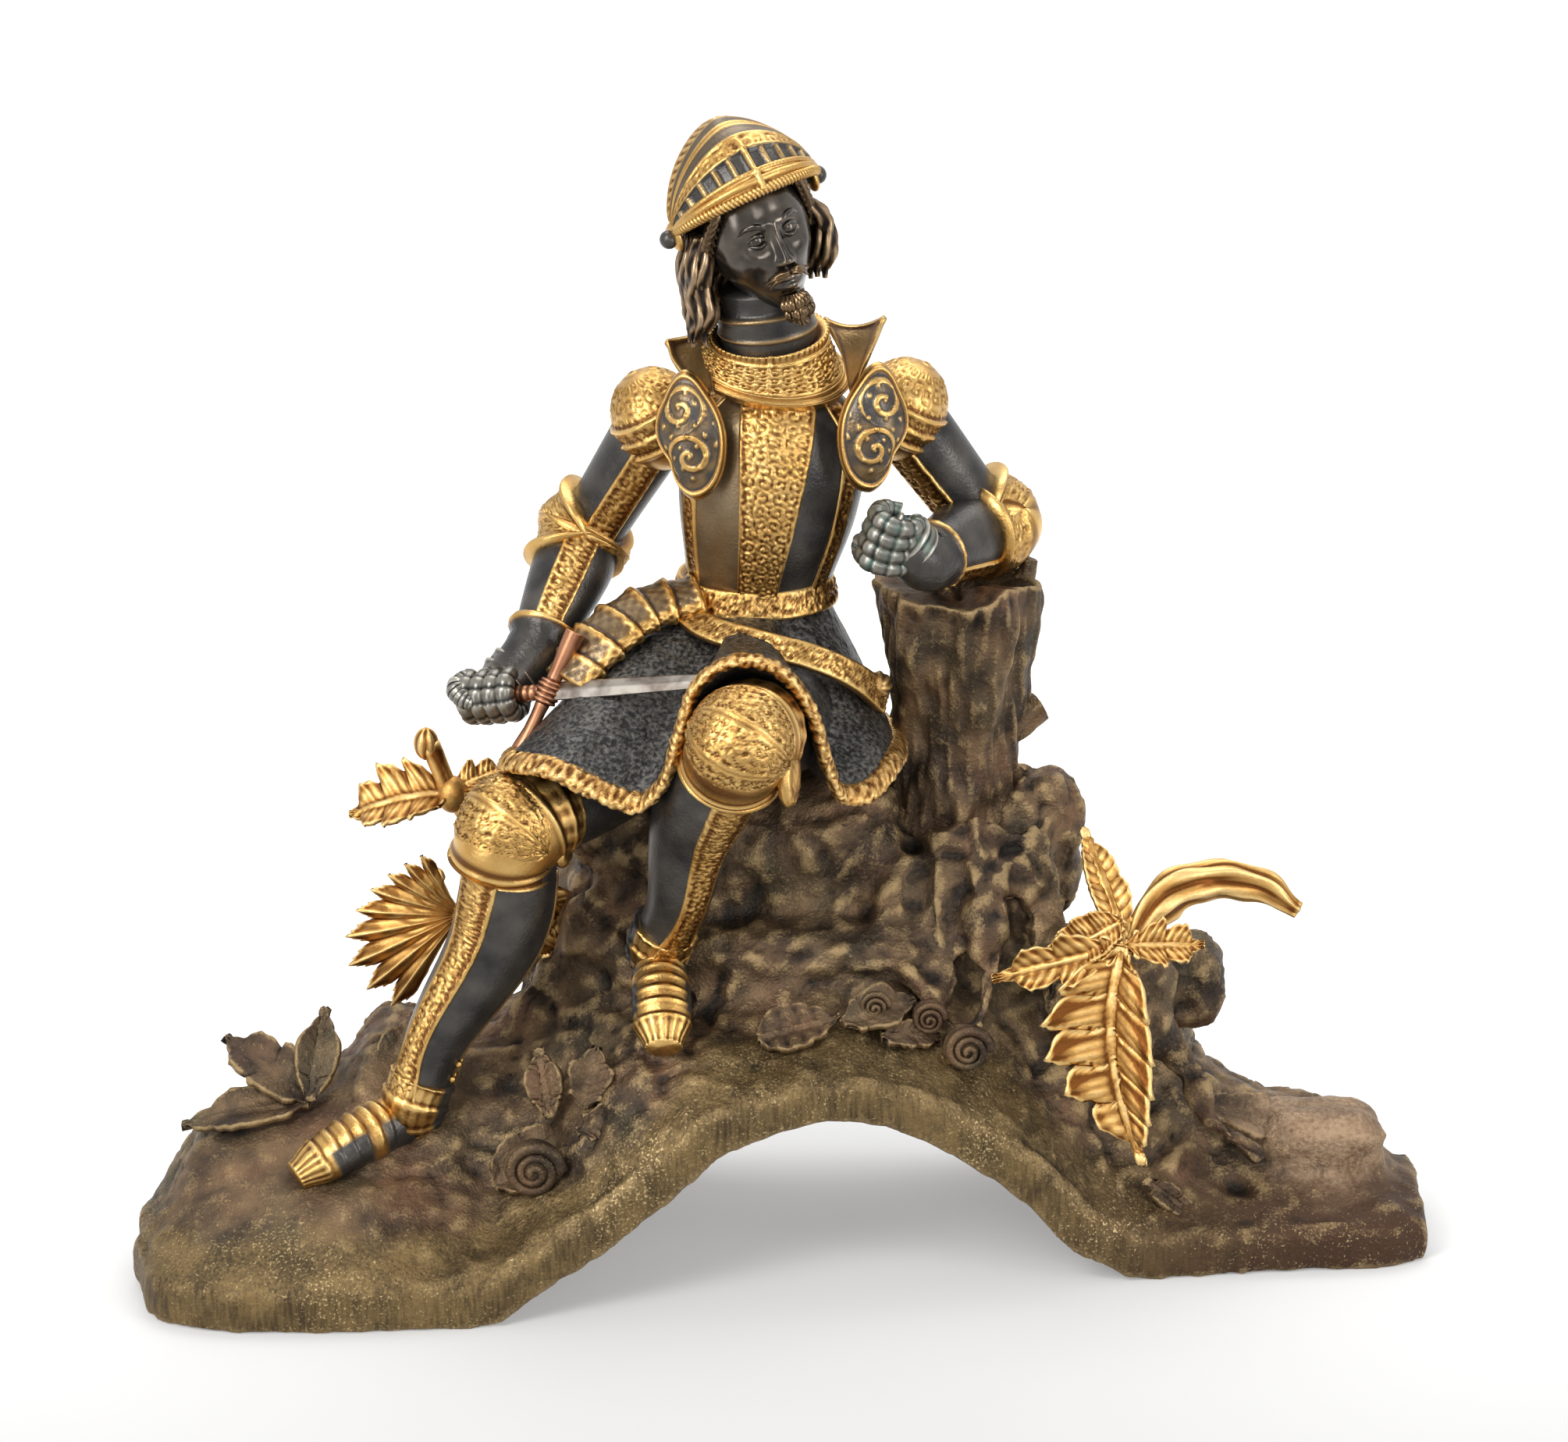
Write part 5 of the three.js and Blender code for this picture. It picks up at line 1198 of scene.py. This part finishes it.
def pauldron(casting, side, joint, guard_centre, inner_edge, outer_edge, dip):
    """A shoulder: its dome over the joint, its guard, and its flange between two edges, with a dipped top."""
    dome_axes = turned_axes(0, side * 30, 0)
    dome_lames = lames((0.4, 0.5, 0.6), 0.8, 0.015)

    def dome(points):
        tilt = np.arccos(np.clip(points[:, 2], -1, 1)) / math.pi
        turn = np.arctan2(points[:, 1], points[:, 0])
        relief = dome_lames(tilt) + scrollwork(turn * 15, (tilt - 0.52) * 46, 5.5) * (tilt > 0.4)
        relief = relief + 0.3 * scrolls(turn * 14, tilt * 46, 5, 5) * eased(tilt, 0.1, 0.16) * (tilt < 0.4)
        return points * (0.955 + relief / 17)[:, None]

    casting.ball(joint + (side, 0, -1), (14.8, 17.5, 16.8), dome_axes, 130, 80, dome, gold=1.0)

    lobe = through(
        (0, 1), (0.12, 1), (0.25, 0.97), (0.38, 0.88), (0.5, 1), (0.62, 0.88), (0.74, 0.96), (0.84, 0.76),
        (0.91, 0.9), (1, 1))
    axes = turned_axes(-10, side * 5, side * 20)
    axes[0] = axes[0] * side

    def guard(u, v):
        turn = u * full_turn
        reach = v * lobe((u + 0.25) % 1)
        across, up = -np.cos(turn) * reach * 12, np.sin(turn) * reach * 20.2
        rim = 1.2 * peak(v - 0.92, 0.05)
        field = eased(0.84 - v, 0, 0.05)
        whorls = -0.6
        for place, hand in ((8.5, 1), (-6.5, -1)):
            far = np.hypot(across - hand, up - place)
            angle = np.arctan2(up - place, (across - hand) * hand)
            whorls = np.maximum(whorls, np.cos(angle - full_turn * far / 5) * eased(8.5 - far, 0, 1.5))
        studs = field * np.maximum(0, np.cos(across * 1.15 + 1) * np.cos(up * 0.95) - 0.6) * 1.6
        rise = 5.6 * (1 - v**2.4) + rim + field * 0.5 * eased(whorls, 0.2, 0.7) + studs
        worn = 0.12 + 0.2 * lumps(np.stack([across, 0 * up, up], axis=1), 3.2, seed=4 + side)
        shown = np.maximum(0.95 * eased(whorls, 0.4, 0.65), np.maximum(0.8 * (studs > 0.3), worn))
        gilt = np.clip(eased(v, 0.84, 0.87) + field * shown, 0, 1)
        points = guard_centre + across[:, None] * axes[0] - rise[:, None] * axes[1] + up[:, None] * axes[2]
        return points, gilt

    casting.sheet(110, 50, guard, wall=1.5)
    inner, outer = line_through(inner_edge), line_through(outer_edge)

    def flange(u, v):
        """The upright plate: u from its inner edge to its outer, v from its foot to its rolled top."""
        points = inner(v) + (outer(v) - inner(v)) * u[:, None]
        arched = 4 * u * (1 - u)
        rolled = np.maximum(peak(u - 0.94, 0.06), peak(v - 0.96, 0.04))
        points[:, 1] += 2.4 * arched * v - 0.9 * rolled
        points[:, 2] -= dip * arched * v**4
        return points, 0.5 + 0.5 * rolled

    casting.sheet(30, 36, flange, wall=1.6)
    boss = joint + (side * -9, -13, 10)
    whorl = Limb(coil(boss, 3.6, 1.8) - (0, 1.2, 0), taper(0.9, 0.6))
    casting.limb(whorl, 10, 90, gold=1.0)
    casting.ball(boss, (4.2, 2.5, 4.2), gold=0.0)


pauldron(
    shoulders, -1, right_shoulder, guard_centre=np.array([-28.6, 13.2, 260]),
    inner_edge=[(-21.6, 14, 273), (-22.5, 24, 281), (-23.7, 34, 288)],
    outer_edge=[(-23.5, 12, 272), (-30, 16, 277.5), (-34.5, 22, 282), (-35.9, 27, 287)], dip=1)
pauldron(
    shoulders, 1, left_shoulder, guard_centre=np.array([27.3, 13, 262.5]),
    inner_edge=[(20, 14, 273.5), (17.5, 27, 282), (12.6, 36, 291.8)],
    outer_edge=[(21.5, 12, 273), (24, 17, 280), (28, 24, 287.5), (30.6, 30, 293.7)], dip=3.5)


def bib(u, v):
    """The gorget, from its outer border up to the beaded ring round the neck."""
    turn = (u - 0.5) * full_turn
    aside, fore = np.sin(turn), np.cos(turn)
    low = np.stack([25.9 * aside - 4.9, 31 - 17.8 * fore, 276.8 - 3.6 * aside - 7.8 * fore], axis=1)
    high = np.stack([17.4 * aside - 4.3, 26.5 - 13.8 * fore, 289.6 + 1.5 * aside - 4.4 * fore], axis=1)
    beads = 0.45 * np.cos(54 * turn) * peak(v - 0.93, 0.035)
    ring = 0.9 * peak(v - 0.94, 0.045)
    borders = sum(0.7 * peak(v - place, 0.02) for place in (0.03, 0.14, 0.25))
    lame = 0.6 * eased(v, 0.1, 0.13)
    chase = 1.3 * scrollwork(turn * 20, (v - 0.57) * 26, 7.6) * eased(v, 0.26, 0.3)
    keel = 0.7 * peak(turn, 0.035) * eased(v, 0.26, 0.3)
    buried = -3 * (1 - eased(np.minimum(v, 1 - v), 0, 0.012))
    share = np.stack([v**0.85, v**0.85, v**1.25], axis=1)
    away = unit(np.stack([aside, -fore, 0.9 + 0 * aside], axis=1))
    rise = beads + ring + borders - lame + chase + keel + buried
    return low + (high - low) * share + away * rise[:, None]


shoulders.sheet(230, 76, bib, gold=1.0, caps=True)
neck = Limb(
    [(-4.6, 30, 276), (-5, 27.5, 289), (-7, 25.5, 304)],
    through((0, 15), (0.55, 15), (0.76, 14.6), (0.8, 13.4), (1, 13)),
    through((0, 13), (0.55, 12.8), (0.76, 12.6), (0.8, 11.4), (1, 11)))
rolled_edges = lambda turn, t: sum(0.6 * peak(t - place, 0.02) for place in (0.52, 0.75))
rolled_gold = lambda turn, t: 0.6 * rolled_edges(turn, t)
shoulders.sheet(56, 70, chased_skin(neck, rolled_edges, rolled_gold), caps=True)
finished(shoulders, "shoulders_and_gorget", armour, "knight")

# The head is one with the figure. It leans and looks a little to its left, with calm, regular features, a
# moustache and a small beard.
head_centre = np.array([-8, 24, 318.0])
looks = unit((0.38, -0.92, 0.06))
behind = -looks
above = unit(np.array([-0.34, 0.03, 0.94]) - looks * np.dot((-0.34, 0.03, 0.94), looks))
head_axes = np.array([np.cross(behind, above), behind, above])


def on_head(points):
    """Places on the head from how far aside, behind and above its middle they are."""
    return head_centre + np.asarray(points, float) @ head_axes


def on_face(points):
    """Places on the face, stretched to the head's own proportions."""
    return on_head(np.asarray(points, float) * (1.08, 1.1, 1.24) + (0, 0, 4.2))


def bump(a, b):
    return np.exp(-(a**2) - b**2)


def features(x, z):
    """How far the face stands forward of an egg, in millimetres, at a place aside and above its middle."""
    out = np.abs(x)
    down = np.clip((3.5 - z) / 9.5, 0, 1)
    nose = (0.6 + 3.4 * down**1.2) * np.exp(-((out / (1.0 + 1.0 * down)) ** 2.4)) * eased(z, -7.2, -5.6)
    nose = nose * (1 - eased(z, 3.5, 6)) + 1.2 * bump((out - 2.1) / 1.0, (z + 5.7) / 1.2)
    brow = 1.1 * bump((out - 4.5) / 4.5, (z - 4.4 + 0.03 * out**2) / 1.5)
    socket = -2.0 * bump((out - 5.0) / 3.4, (z - 0.9) / 2.7)
    cheek = 1.1 * bump((out - 8.3) / 3.4, (z + 4) / 3) - 0.7 * bump((out - 7) / 2.6, (z + 10) / 3.6)
    lips = 1.0 * bump(x / 3.8, (z + 10.1) / 0.9) + 1.2 * bump(x / 3.2, (z + 12.5) / 1.1)
    mouth = 1.1 * bump(x / 6, (z + 11.2) / 4) - 1.0 * bump(x / 4.2, (z + 11.2 - 0.02 * out**2) / 0.4)
    chin = 1.9 * bump(x / 4.2, (z + 17.6) / 2.6) - 0.6 * bump(x / 3.5, (z + 14.6) / 0.9)
    return nose + brow + socket + cheek + lips + mouth + chin


def skull(u, v):
    bare = 2 * u - 1
    turn = math.pi * (0.55 * bare + 0.45 * bare**3)
    tilt = math.pi * (0.06 + 0.94 * v)
    jaw = eased(-np.cos(tilt), 0, 1)
    x = 15.3 * np.sin(tilt) * np.sin(turn) * (1 - 0.26 * jaw)
    y = -18 * np.sin(tilt) * np.cos(turn) - 2.2 * jaw
    z = 20.5 * np.cos(tilt)
    facing = eased(np.cos(turn), 0.05, 0.5)
    return on_face(np.stack([x, y - features(x, z) * facing, z], axis=1))


head = Casting()
head.sheet(150, 104, skull, caps=True)
hairs = lambda turn, t: 1 + 0.12 * np.cos(5 * turn + 9 * t) + 0.06 * np.cos(9 * turn - 16 * t)
for side in (-1, 1):
    eye = on_face((side * 5.0, -13.7, 0.9))
    head.ball(eye, (3, 2.9, 3), head_axes, 28, 20)
    mirrored = np.array([side, 1, 1])
    for height, size in ((1.5, 0.62), (-1.35, 0.5)):
        lid = [
            (2.5, -14.3, 0.5), (3.7, -16.2, 0.9 + 0.75 * height), (5.2, -16.3, 0.9 + height),
            (6.9, -15.1, 0.9 + 0.7 * height), (7.9, -13.4, 0.4)]
        head.limb(Limb(on_face(lid * mirrored), size, 0.8), 12, 30)
    eyebrow = [(2.3, -17.4, 3.7), (4.6, -17.0, 4.7), (7.2, -15.4, 4.8), (9.4, -13.2, 3.5)]
    eyebrow_width = through((0, 0.9), (0.4, 1), (1, 0.4))
    head.limb(Limb(on_face(eyebrow * mirrored), eyebrow_width, 0.7, swell=hairs), 14, 60)
    for whisker in (
            [(0.5, -18.7, -8.3), (2.2, -18.6, -8.5), (4.4, -17.1, -9.2), (6.2, -15.3, -9.9)],
            [(0.6, -18.7, -8.8), (2.4, -18.4, -9.2), (4.4, -17, -10.1), (5.7, -15.5, -11.4)]):
        whisker_width = through((0, 0.8), (0.4, 1.1), (1, 0.4))
        head.limb(Limb(on_face(whisker * mirrored), whisker_width, 0.9, swell=hairs), 18, 60, gold=1.0)
curled = np.random.default_rng(11)
for number in range(16):
    row, place = divmod(number, 8)
    lean = (place - 3.5) / 3.5
    depth = 1.8 * lean**2
    top = -14.9 - 2.6 * row
    a, b, c = curled.uniform(-0.7, 0.7, 3)
    curl = [
        (lean * 2.8, -16.8 + depth, top), (lean * 3.6 + a, -18 + depth, top - 1.7),
        (lean * 3.2 + b, -17.6 + depth, top - 3.6),
        (lean * 2.2 + c, -17.9 + depth, top - 5.4 + 1.2 * lean**2)]
    head.limb(Limb(on_face(curl), through((0, 0.7), (0.5, 1.1), (1, 0.4)), swell=hairs), 14, 40, gold=1.0)


def polished_bronze():
    finish = Finish("polished_bronze")
    high = finish.worn("high")
    cloud = finish.cloud(6)
    dark = finish.tint((0.045, 0.039, 0.034), (0.125, 0.108, 0.09), cloud.between(0.3, 0.7))
    colour = finish.tint(dark, (0.2, 0.15, 0.1), (high + cloud * 0.3).between(0.85, 1.1) * 0.7)
    beard = finish.tint((0.03, 0.02, 0.012), (0.34, 0.22, 0.11), (high + cloud * 0.5).between(0.6, 1.1))
    colour = finish.tint(colour, beard, finish.worn("gold"))
    return finish.skin(colour, 0.15 + cloud * 0.08, 0.9, cloud, 0.05)


finished(head, "head", polished_bronze(), "knight")


# Wavy hair falls behind the ears to the shoulders, longer on the right, with short tufts at the temples.
def hair_bronze():
    finish = Finish("hair_bronze")
    high = finish.worn("high")
    cloud = finish.cloud(7)
    colour = finish.tint((0.014, 0.01, 0.008), (0.13, 0.08, 0.04), (high + cloud * 0.3).between(0.4, 0.75))
    wear_and_sheen = finish.tint(colour, (0.33, 0.23, 0.14), (high + cloud * 0.4).between(0.75, 1.1))
    return finish.skin(wear_and_sheen, 0.42 - high * 0.1, 0.85, cloud, 0.08)


hair = Casting()
chance = np.random.default_rng(5)
locks = 40
for number in range(locks):
    layer = number % 2
    share = number / (locks - 1)
    a = math.radians(78 + 204 * share)
    sine, cosine = math.sin(a), math.cos(a)
    short = eased(share, 0.66, 0.86)
    root = on_head((-(16 + layer) * sine, -18.5 * cosine + 1, 9))
    outward = np.array([-sine * 0.87 + 0.38 * cosine, -sine * 0.38 - 0.92 * cosine, 0])
    length = 34 - 7 * short + chance.uniform(-2, 1)
    drops = np.linspace(0, 1, 10)
    spread = through((0, 0), (0.3, 2 + 5 * short), (0.65, 8 * short), (1, 0.5 + 7 * short))(drops) + layer
    wave = 1.7 * np.sin(drops * length * 0.42 + chance.uniform(0, 1.5)) * drops**0.3
    sidelong = np.cross(outward, (0, 0, 1))
    line = root + drops[:, None] * (0, 0, -1) * length + spread[:, None] * outward + wave[:, None] * sidelong
    phase = chance.uniform(0, 6)
    strands = lambda turn, t: 1 + 0.2 * np.cos(4 * turn + 14 * t + phase) + 0.08 * np.cos(9 * turn - 8 * t)
    lock = Limb(line, through((0, 2), (0.35, 2.8), (0.75, 2.4), (1, 0.7)), swell=strands)
    hair.limb(lock, 18, 40)
for side, low, high in ((-1, 52, 74), (1, 56, 72)):
    for share in np.linspace(0, 1, 5):
        a = math.radians(low + (high - low) * share)
        base = np.array([side * 16.4 * math.sin(a), -18.6 * math.cos(a), 19 - 8 * share])
        falls = [(0, 0, 0), (side, -0.6, -2.6), (side * 2, 0.4, -5), (side * 1.2, 1, -7.5 - 2 * share)]
        tuft = Limb(on_head(base + falls), through((0, 1.1), (0.5, 1.6), (1, 0.5)), swell=strands)
        hair.limb(tuft, 14, 20)
finished(hair, "hair", hair_bronze(), "knight")

# The helmet is open. Its visor is pushed up to bare the face, and hangs on a dark stud at each side. Its
# lower edge is roped. Above that are a dark row of slits with a keel in the middle, and gilt and dark bands
# from stud to stud. Behind them the skull is dark, with a low comb.
helmet = Casting()
pivot_behind, pivot_above = 2.6, 12.2
lift_angle, back_angle = 20, 184


def within(value, low, high):
    return (value > low) & (value < high)


def helmet_skin(u, v):
    """u goes from stud to stud, and v over the head from the visor's lower edge to the nape, by angle."""
    arc = (u - 0.5) * math.pi * 0.995
    rise = lift_angle + (back_angle - lift_angle) * v
    climb = np.radians(rise)
    x = np.sin(arc)
    y = -np.cos(arc) * np.cos(climb)
    z = np.cos(arc) * np.sin(climb)
    pointed = 1 + 0.22 * np.maximum(0, 1 - np.hypot(x, y)) ** 1.2
    along = arc * 25
    width = eased(np.cos(arc), 0.02, 0.15)
    edges = sum(0.45 * peak(rise - edge, 1.1) for edge in (33, 50, 63, 75, 79, 88, 101))
    step = 1.5 * (1 - eased(rise, 102, 105)) * eased(np.cos(arc), 0, 0.35)
    slits = eased(rise, 33.5, 35) * (1 - eased(rise, 48, 49.5)) * eased(np.cos(arc), 0.3, 0.45)
    open_slit = eased(np.cos(along * 1.08 + math.pi), -0.75, -0.45)
    bars = -1.1 * slits * open_slit
    keel = 1.3 * peak(along, 1.1) * (1 - eased(rise, 54, 64))
    rope = 0.3 * np.cos(along * 2.4 + rise * 0.3) * within(rise, 88.5, 100.5)
    chased = 0.22 * scrolls(along, rise * 0.45, 4.6, 5.4) * within(rise, 51, 62)
    comb = 1.6 * peak(along, 1.6) * eased(rise, 103, 116) * (1 - eased(rise, 160, 178))
    lift = (edges + step + bars + keel + rope + chased + comb) * width
    bands = sum(within(rise, low, high) for low, high in ((0, 34), (51, 62), (75, 79), (87.5, 101.5)))
    shown = 0.8 * (keel > 0.4) + 0.5 * slits * (1 - open_slit) + 0.9 * (edges > 0.25) * (rise < 102)
    gilt = np.clip(bands + shown + 0.13 * within(rise, 50, 102), 0, 1)
    front = 1 - eased(rise, 45, 90)
    spot = np.stack([23.2 * x, 25.4 * y + 1.5 + 1.1 * front, 24.2 * z * pointed + 10 + 2.2 * front], axis=1)
    away = unit(np.stack([x / 23, y / 25.3, z / 24], axis=1))
    return on_head(spot + away * lift[:, None]), gilt


helmet.sheet(130, 130, helmet_skin, wall=1.4)
half_turn = np.linspace(-0.5, 0.5, 30) * math.pi
rope_turns = 58
for angle, size, gap, beads in ((0, 1.5, 0.2, 1.0), (7, 1.2, 0.6, 0.0), (13, 0.9, 0.8, 0.3)):
    tilt = math.radians(lift_angle + angle)
    ahead = 25.6 * np.cos(half_turn) + gap
    rim = on_head(np.stack([
        24.4 * np.sin(half_turn), pivot_behind - ahead * math.cos(tilt),
        pivot_above + ahead * math.sin(tilt)], axis=1))
    roped = lambda turn, t: 1 + 0.14 * beads * np.cos(2 * turn + t * full_turn * rope_turns)
    rope = Limb(rim, through((0, 0.6), (0.1, size), (0.9, size), (1, 0.6)), swell=roped)
    helmet.limb(rope, 12, 360, gold=1.0)
nape = on_head(np.stack([
    24.2 * np.sin(half_turn), pivot_behind + 24.4 * np.cos(half_turn), 9.6 + 0 * half_turn], axis=1))
helmet.limb(Limb(nape, 1.6, swell=roped), 12, 220, gold=1.0)
for side in (-1, 1):
    for out, radii, around, gold in ((26, (2.7, 2.9, 2.9), 28, 0.0), (23.6, (1.8, 4.6, 4.6), 36, 1.0)):
        stud = on_head((side * out, pivot_behind, pivot_above - 1))
        helmet.ball(stud, radii, head_axes, around, 18, gold=gold)
finished(helmet, "helmet", armour, "knight")

# The right spray: a long toothed frond that hangs from a short stem between the stones, with leaves to each
# side, one upright leaf and a knotted shoot. It is cast, chased and mercury gilt apart from the base.
def leaf_gilding():
    finish = Finish("leaf_gilding")
    high = finish.worn("high")
    cloud = finish.cloud(9)
    fine = finish.cloud(1.2)
    low = finish.tint((0.14, 0.05, 0.012), (0.52, 0.29, 0.085), (high + cloud * 0.3).between(0.35, 0.7))
    colour = finish.tint(low, (0.72, 0.5, 0.21), (high * 0.8 + fine * 0.2 + cloud * 0.2).between(0.6, 0.85))
    return finish.skin(colour, 0.36 + fine * 0.2, 1.0, fine, 0.15)


gilding = leaf_gilding()
leaf_wall = 1.3
right_spray = Casting()
hub = np.array([105, -28, 108.0])
right_leaves = (
    (hub, (-0.35, -0.3, -1), (-0.3, -1, 0.3), 62, 39, {"teeth": 6, "curl": 0.25, "notch": 0.34, "veer": -26}),
    (hub, (-1, -0.1, -0.22), (0, -1, 0.4), 43, 17, {"notch": 0.42}),
    ((105, -24, 115), (-0.88, -0.1, -0.45), (-0.2, -0.8, 0.6), 33, 15, {"teeth": 5, "notch": 0.03}),
    (hub, (1, -0.1, 0.1), (0, -0.8, 0.6), 25, 16, {"notch": 0.4}),
    ((105, -20, 106), (-0.3, 0.5, 0.9), (0.3, -1, 0.3), 40, 13, {"notch": 0.1}),
)
for root, way, upper, length, width, shape in right_leaves:
    right_leaf = leaf_place(root, way, upper, length, width, relief=0.9, **shape)
    right_spray.sheet(30, 84, right_leaf, wall=leaf_wall)
right_spray.limb(Limb([hub, (105, -20, 104), (104, -6, 96)], 2.6, swell=gnarled), 24, 40)


def folded(turn, t):
    """The section of the shoot, a young leaf still rolled up."""
    knots = 0.07 * np.cos(9 * math.pi * t + turn)
    return 1 + knots + 0.17 * np.cos(5 * turn + 4 * t) + 0.06 * np.cos(13 * turn - 5 * t)


shoot = Limb(
    [(108, -22, 106), (113, -15, 113), (121, -10, 119.5), (134, -6, 122), (148, -5, 119.5), (160, -5, 111.5)],
    through((0, 3.5), (0.3, 6.2), (0.5, 5.8), (0.8, 5), (1, 2.5)), through((0, 3), (0.4, 5.2), (1, 2.5)),
    swell=folded)
right_spray.limb(shoot, 44, 70)
finished(right_spray, "gilt_spray_right", gilding, "leaf_spray_right")

# The left spray is gilt like the right one: a stem with a cut bud at its end, a leaf each way from its
# knuckle, two more at its foot, and a fan leaf of folded lobes.
left_spray = Casting()
knuckle, fork = (-104, 18, 142), (-84, 22, 112)
stem = Limb(
    [(-64, 30, 92), (-82, 24, 112), (-98, 18, 132), (-106, 18, 146), (-111, 20, 158)],
    through((0, 2.5), (0.7, 2.4), (1, 3)), swell=gnarled)
left_spray.limb(stem, 20, 50)
bud = lambda points: points * (1 + 0.08 * np.cos(6 * np.arctan2(points[:, 1], points[:, 0])))[:, None]
left_spray.ball((-112, 20, 158), (3.7, 3.7, 5), around=28, down=18, shape=bud)
left_spray.ball(knuckle, (5, 5, 6), around=28, down=18)
left_leaves = (
    (knuckle, (-1, -0.2, 0.08), (0, -0.7, 1), 35, 26, {"teeth": 4, "curl": 0.8, "notch": 0.35}),
    (knuckle, (0.9, 0.3, 0.5), (0, -0.6, 1), 21, 13, {"curl": 0.6}),
    (fork, (0.9, 0.1, -0.75), (-0.2, -1, 0.3), 34, 17, {}),
    (fork, (0.3, 0.1, -1), (-0.2, -1, 0.3), 32, 17, {}),
)
for root, way, upper, length, width, shape in left_leaves:
    left_leaf = leaf_place(root, way, upper, length, width, relief=0.9, **shape)
    left_spray.sheet(28, 60, left_leaf, wall=leaf_wall)
hub = np.array([-102, 12, 104.0])
fan_start, fan_end, fan_up = unit((-0.43, 0, 0.9)), unit((-0.5, -0.1, -0.85)), unit((-0.2, -1, 0.1))
fan_axis = unit(np.cross(fan_start, fan_end))
fan_sweep = math.acos(fan_start @ fan_end)
fan_lengths = through((0, 22), (0.25, 25), (0.5, 33), (0.7, 40), (1, 38))
fan_lobes = 9


def fan_leaf(u, v):
    """Lobes side by side, each folded up along its middle, pointed, and toothed along its edge."""
    lobe = u * fan_lobes
    fold = 1 - np.abs(2 * (lobe % 1) - 1)
    turn = fan_sweep * u
    way = np.cos(turn)[:, None] * fan_start + np.sin(turn)[:, None] * np.cross(fan_axis, fan_start)
    teeth = 0.06 * np.abs(np.sin(fold * 3 * math.pi)) * eased(v, 0.5, 0.7) * eased(0.9 - fold, 0, 0.2)
    reach = v * fan_lengths((np.floor(lobe) + 0.5) / fan_lobes) * (0.78 + (0.22 - teeth) * fold**0.55) + 1
    fine = 0.25 * np.cos(26 * fold - 8 * v) * eased(v, 0.2, 0.5)
    rise = (0.14 * fold - 0.03) * reach - reach**2 / 150 + fine
    return hub + way * reach[:, None] + fan_up * rise[:, None]


left_spray.sheet(fan_lobes * 18, 36, fan_leaf, wall=leaf_wall)
left_spray.limb(Limb([(-86, 22, 117), (-94, 17, 111), hub], 2.9), 20, 24)
finished(left_spray, "gilt_spray_left", gilding, "leaf_spray_left")

# The studio: a floor of frosted glass lit a little from below, whose glow is painted light that lifts the
# shade under the base and whose colour is painted darker towards the camera, soft boxes in a bright room, and
# the camera, a little above the figure and a long way off.
aim = Vector((0, 0, 0.172))
distance = 1.8
rise = math.radians(18)
soft_boxes = (
    ("key_light", (-0.75, -1.0, 1.15), (0.6, 0.7), 17), ("fill_light", (1.2, -0.85, 0.6), (0.5, 1.0), 10),
    ("side_light", (-1.3, -1.1, 0.4), (0.35, 1.0), 7), ("front_light", (0.35, -1.9, 0.85), (0.9, 0.6), 7),
    ("top_light", (0.1, 0.5, 1.3), (1.2, 0.7), 9))
for name, place, size, power in soft_boxes:
    light = bpy.data.lights.new(name, "AREA")
    light.shape = "RECTANGLE"
    light.size, light.size_y = size
    light.energy = power
    box = bpy.data.objects.new(name, light)
    box.location = place
    box.rotation_euler = (aim - Vector(place)).to_track_quat("-Z", "Y").to_euler()
    bpy.context.scene.collection.objects.link(box)

world = bpy.data.worlds.new("studio")
world.use_nodes = True
sky = world.node_tree.nodes
backdrop = sky["Background"]
place = sky.new("ShaderNodeTexCoord")
parts = sky.new("ShaderNodeSeparateXYZ")
front = sky.new("ShaderNodeMapRange")
for socket, value in (("From Min", -0.75), ("From Max", 0.1), ("To Min", 0.55), ("To Max", 1.0)):
    front.inputs[socket].default_value = value
world.node_tree.links.new(place.outputs["Generated"], parts.inputs["Vector"])
world.node_tree.links.new(parts.outputs["Y"], front.inputs["Value"])
world.node_tree.links.new(front.outputs["Result"], backdrop.inputs["Strength"])
backdrop.inputs["Color"].default_value = (1, 1, 1, 1)
bpy.context.scene.world = world

floor_glass = Finish("frosted_floor")
backwards = floor_glass.node("ShaderNodeSeparateXYZ", {}, {"Vector": floor_glass.place()}, output="Y")
# Painted shade: the floor's colour is darker towards the camera, from 0.22 in front to 0.85 behind the
# figure.
floor_painted_shade = floor_glass.tint((0.22, 0.218, 0.214), (0.85, 0.85, 0.85), backwards.between(-0.35, 0.5))
# Painted light: the floor's faint glow lifts the shadow under the arch.
glowing_floor = {"Base Color": floor_painted_shade, "Roughness": 0.6, "Emission Color": (1, 1, 1, 1), "Emission Strength": 0.25}
glass = floor_glass.node("ShaderNodeBsdfPrincipled", {}, glowing_floor)
floor_glass.node("ShaderNodeOutputMaterial", {}, {"Surface": glass})
floor_bm = bmesh.new()
bmesh.ops.create_circle(floor_bm, cap_ends=True, segments=96, radius=6)
floor_mesh = bpy.data.meshes.new("floor")
floor_bm.to_mesh(floor_mesh)
floor_bm.free()
floor_mesh.materials.append(floor_glass.material)
floor = bpy.data.objects.new("floor", floor_mesh)
bpy.context.scene.collection.objects.link(floor)

lens = bpy.data.cameras.new("camera")
lens.lens = 133.7
lens.sensor_width = 36
camera = bpy.data.objects.new("camera", lens)
camera.location = aim + distance * Vector((0, -math.cos(rise), math.sin(rise)))
camera.rotation_euler = (math.pi / 2 - rise, 0, 0)
bpy.context.scene.collection.objects.link(camera)
bpy.context.scene.camera = camera
bpy.context.scene.view_settings.view_transform = "Standard"
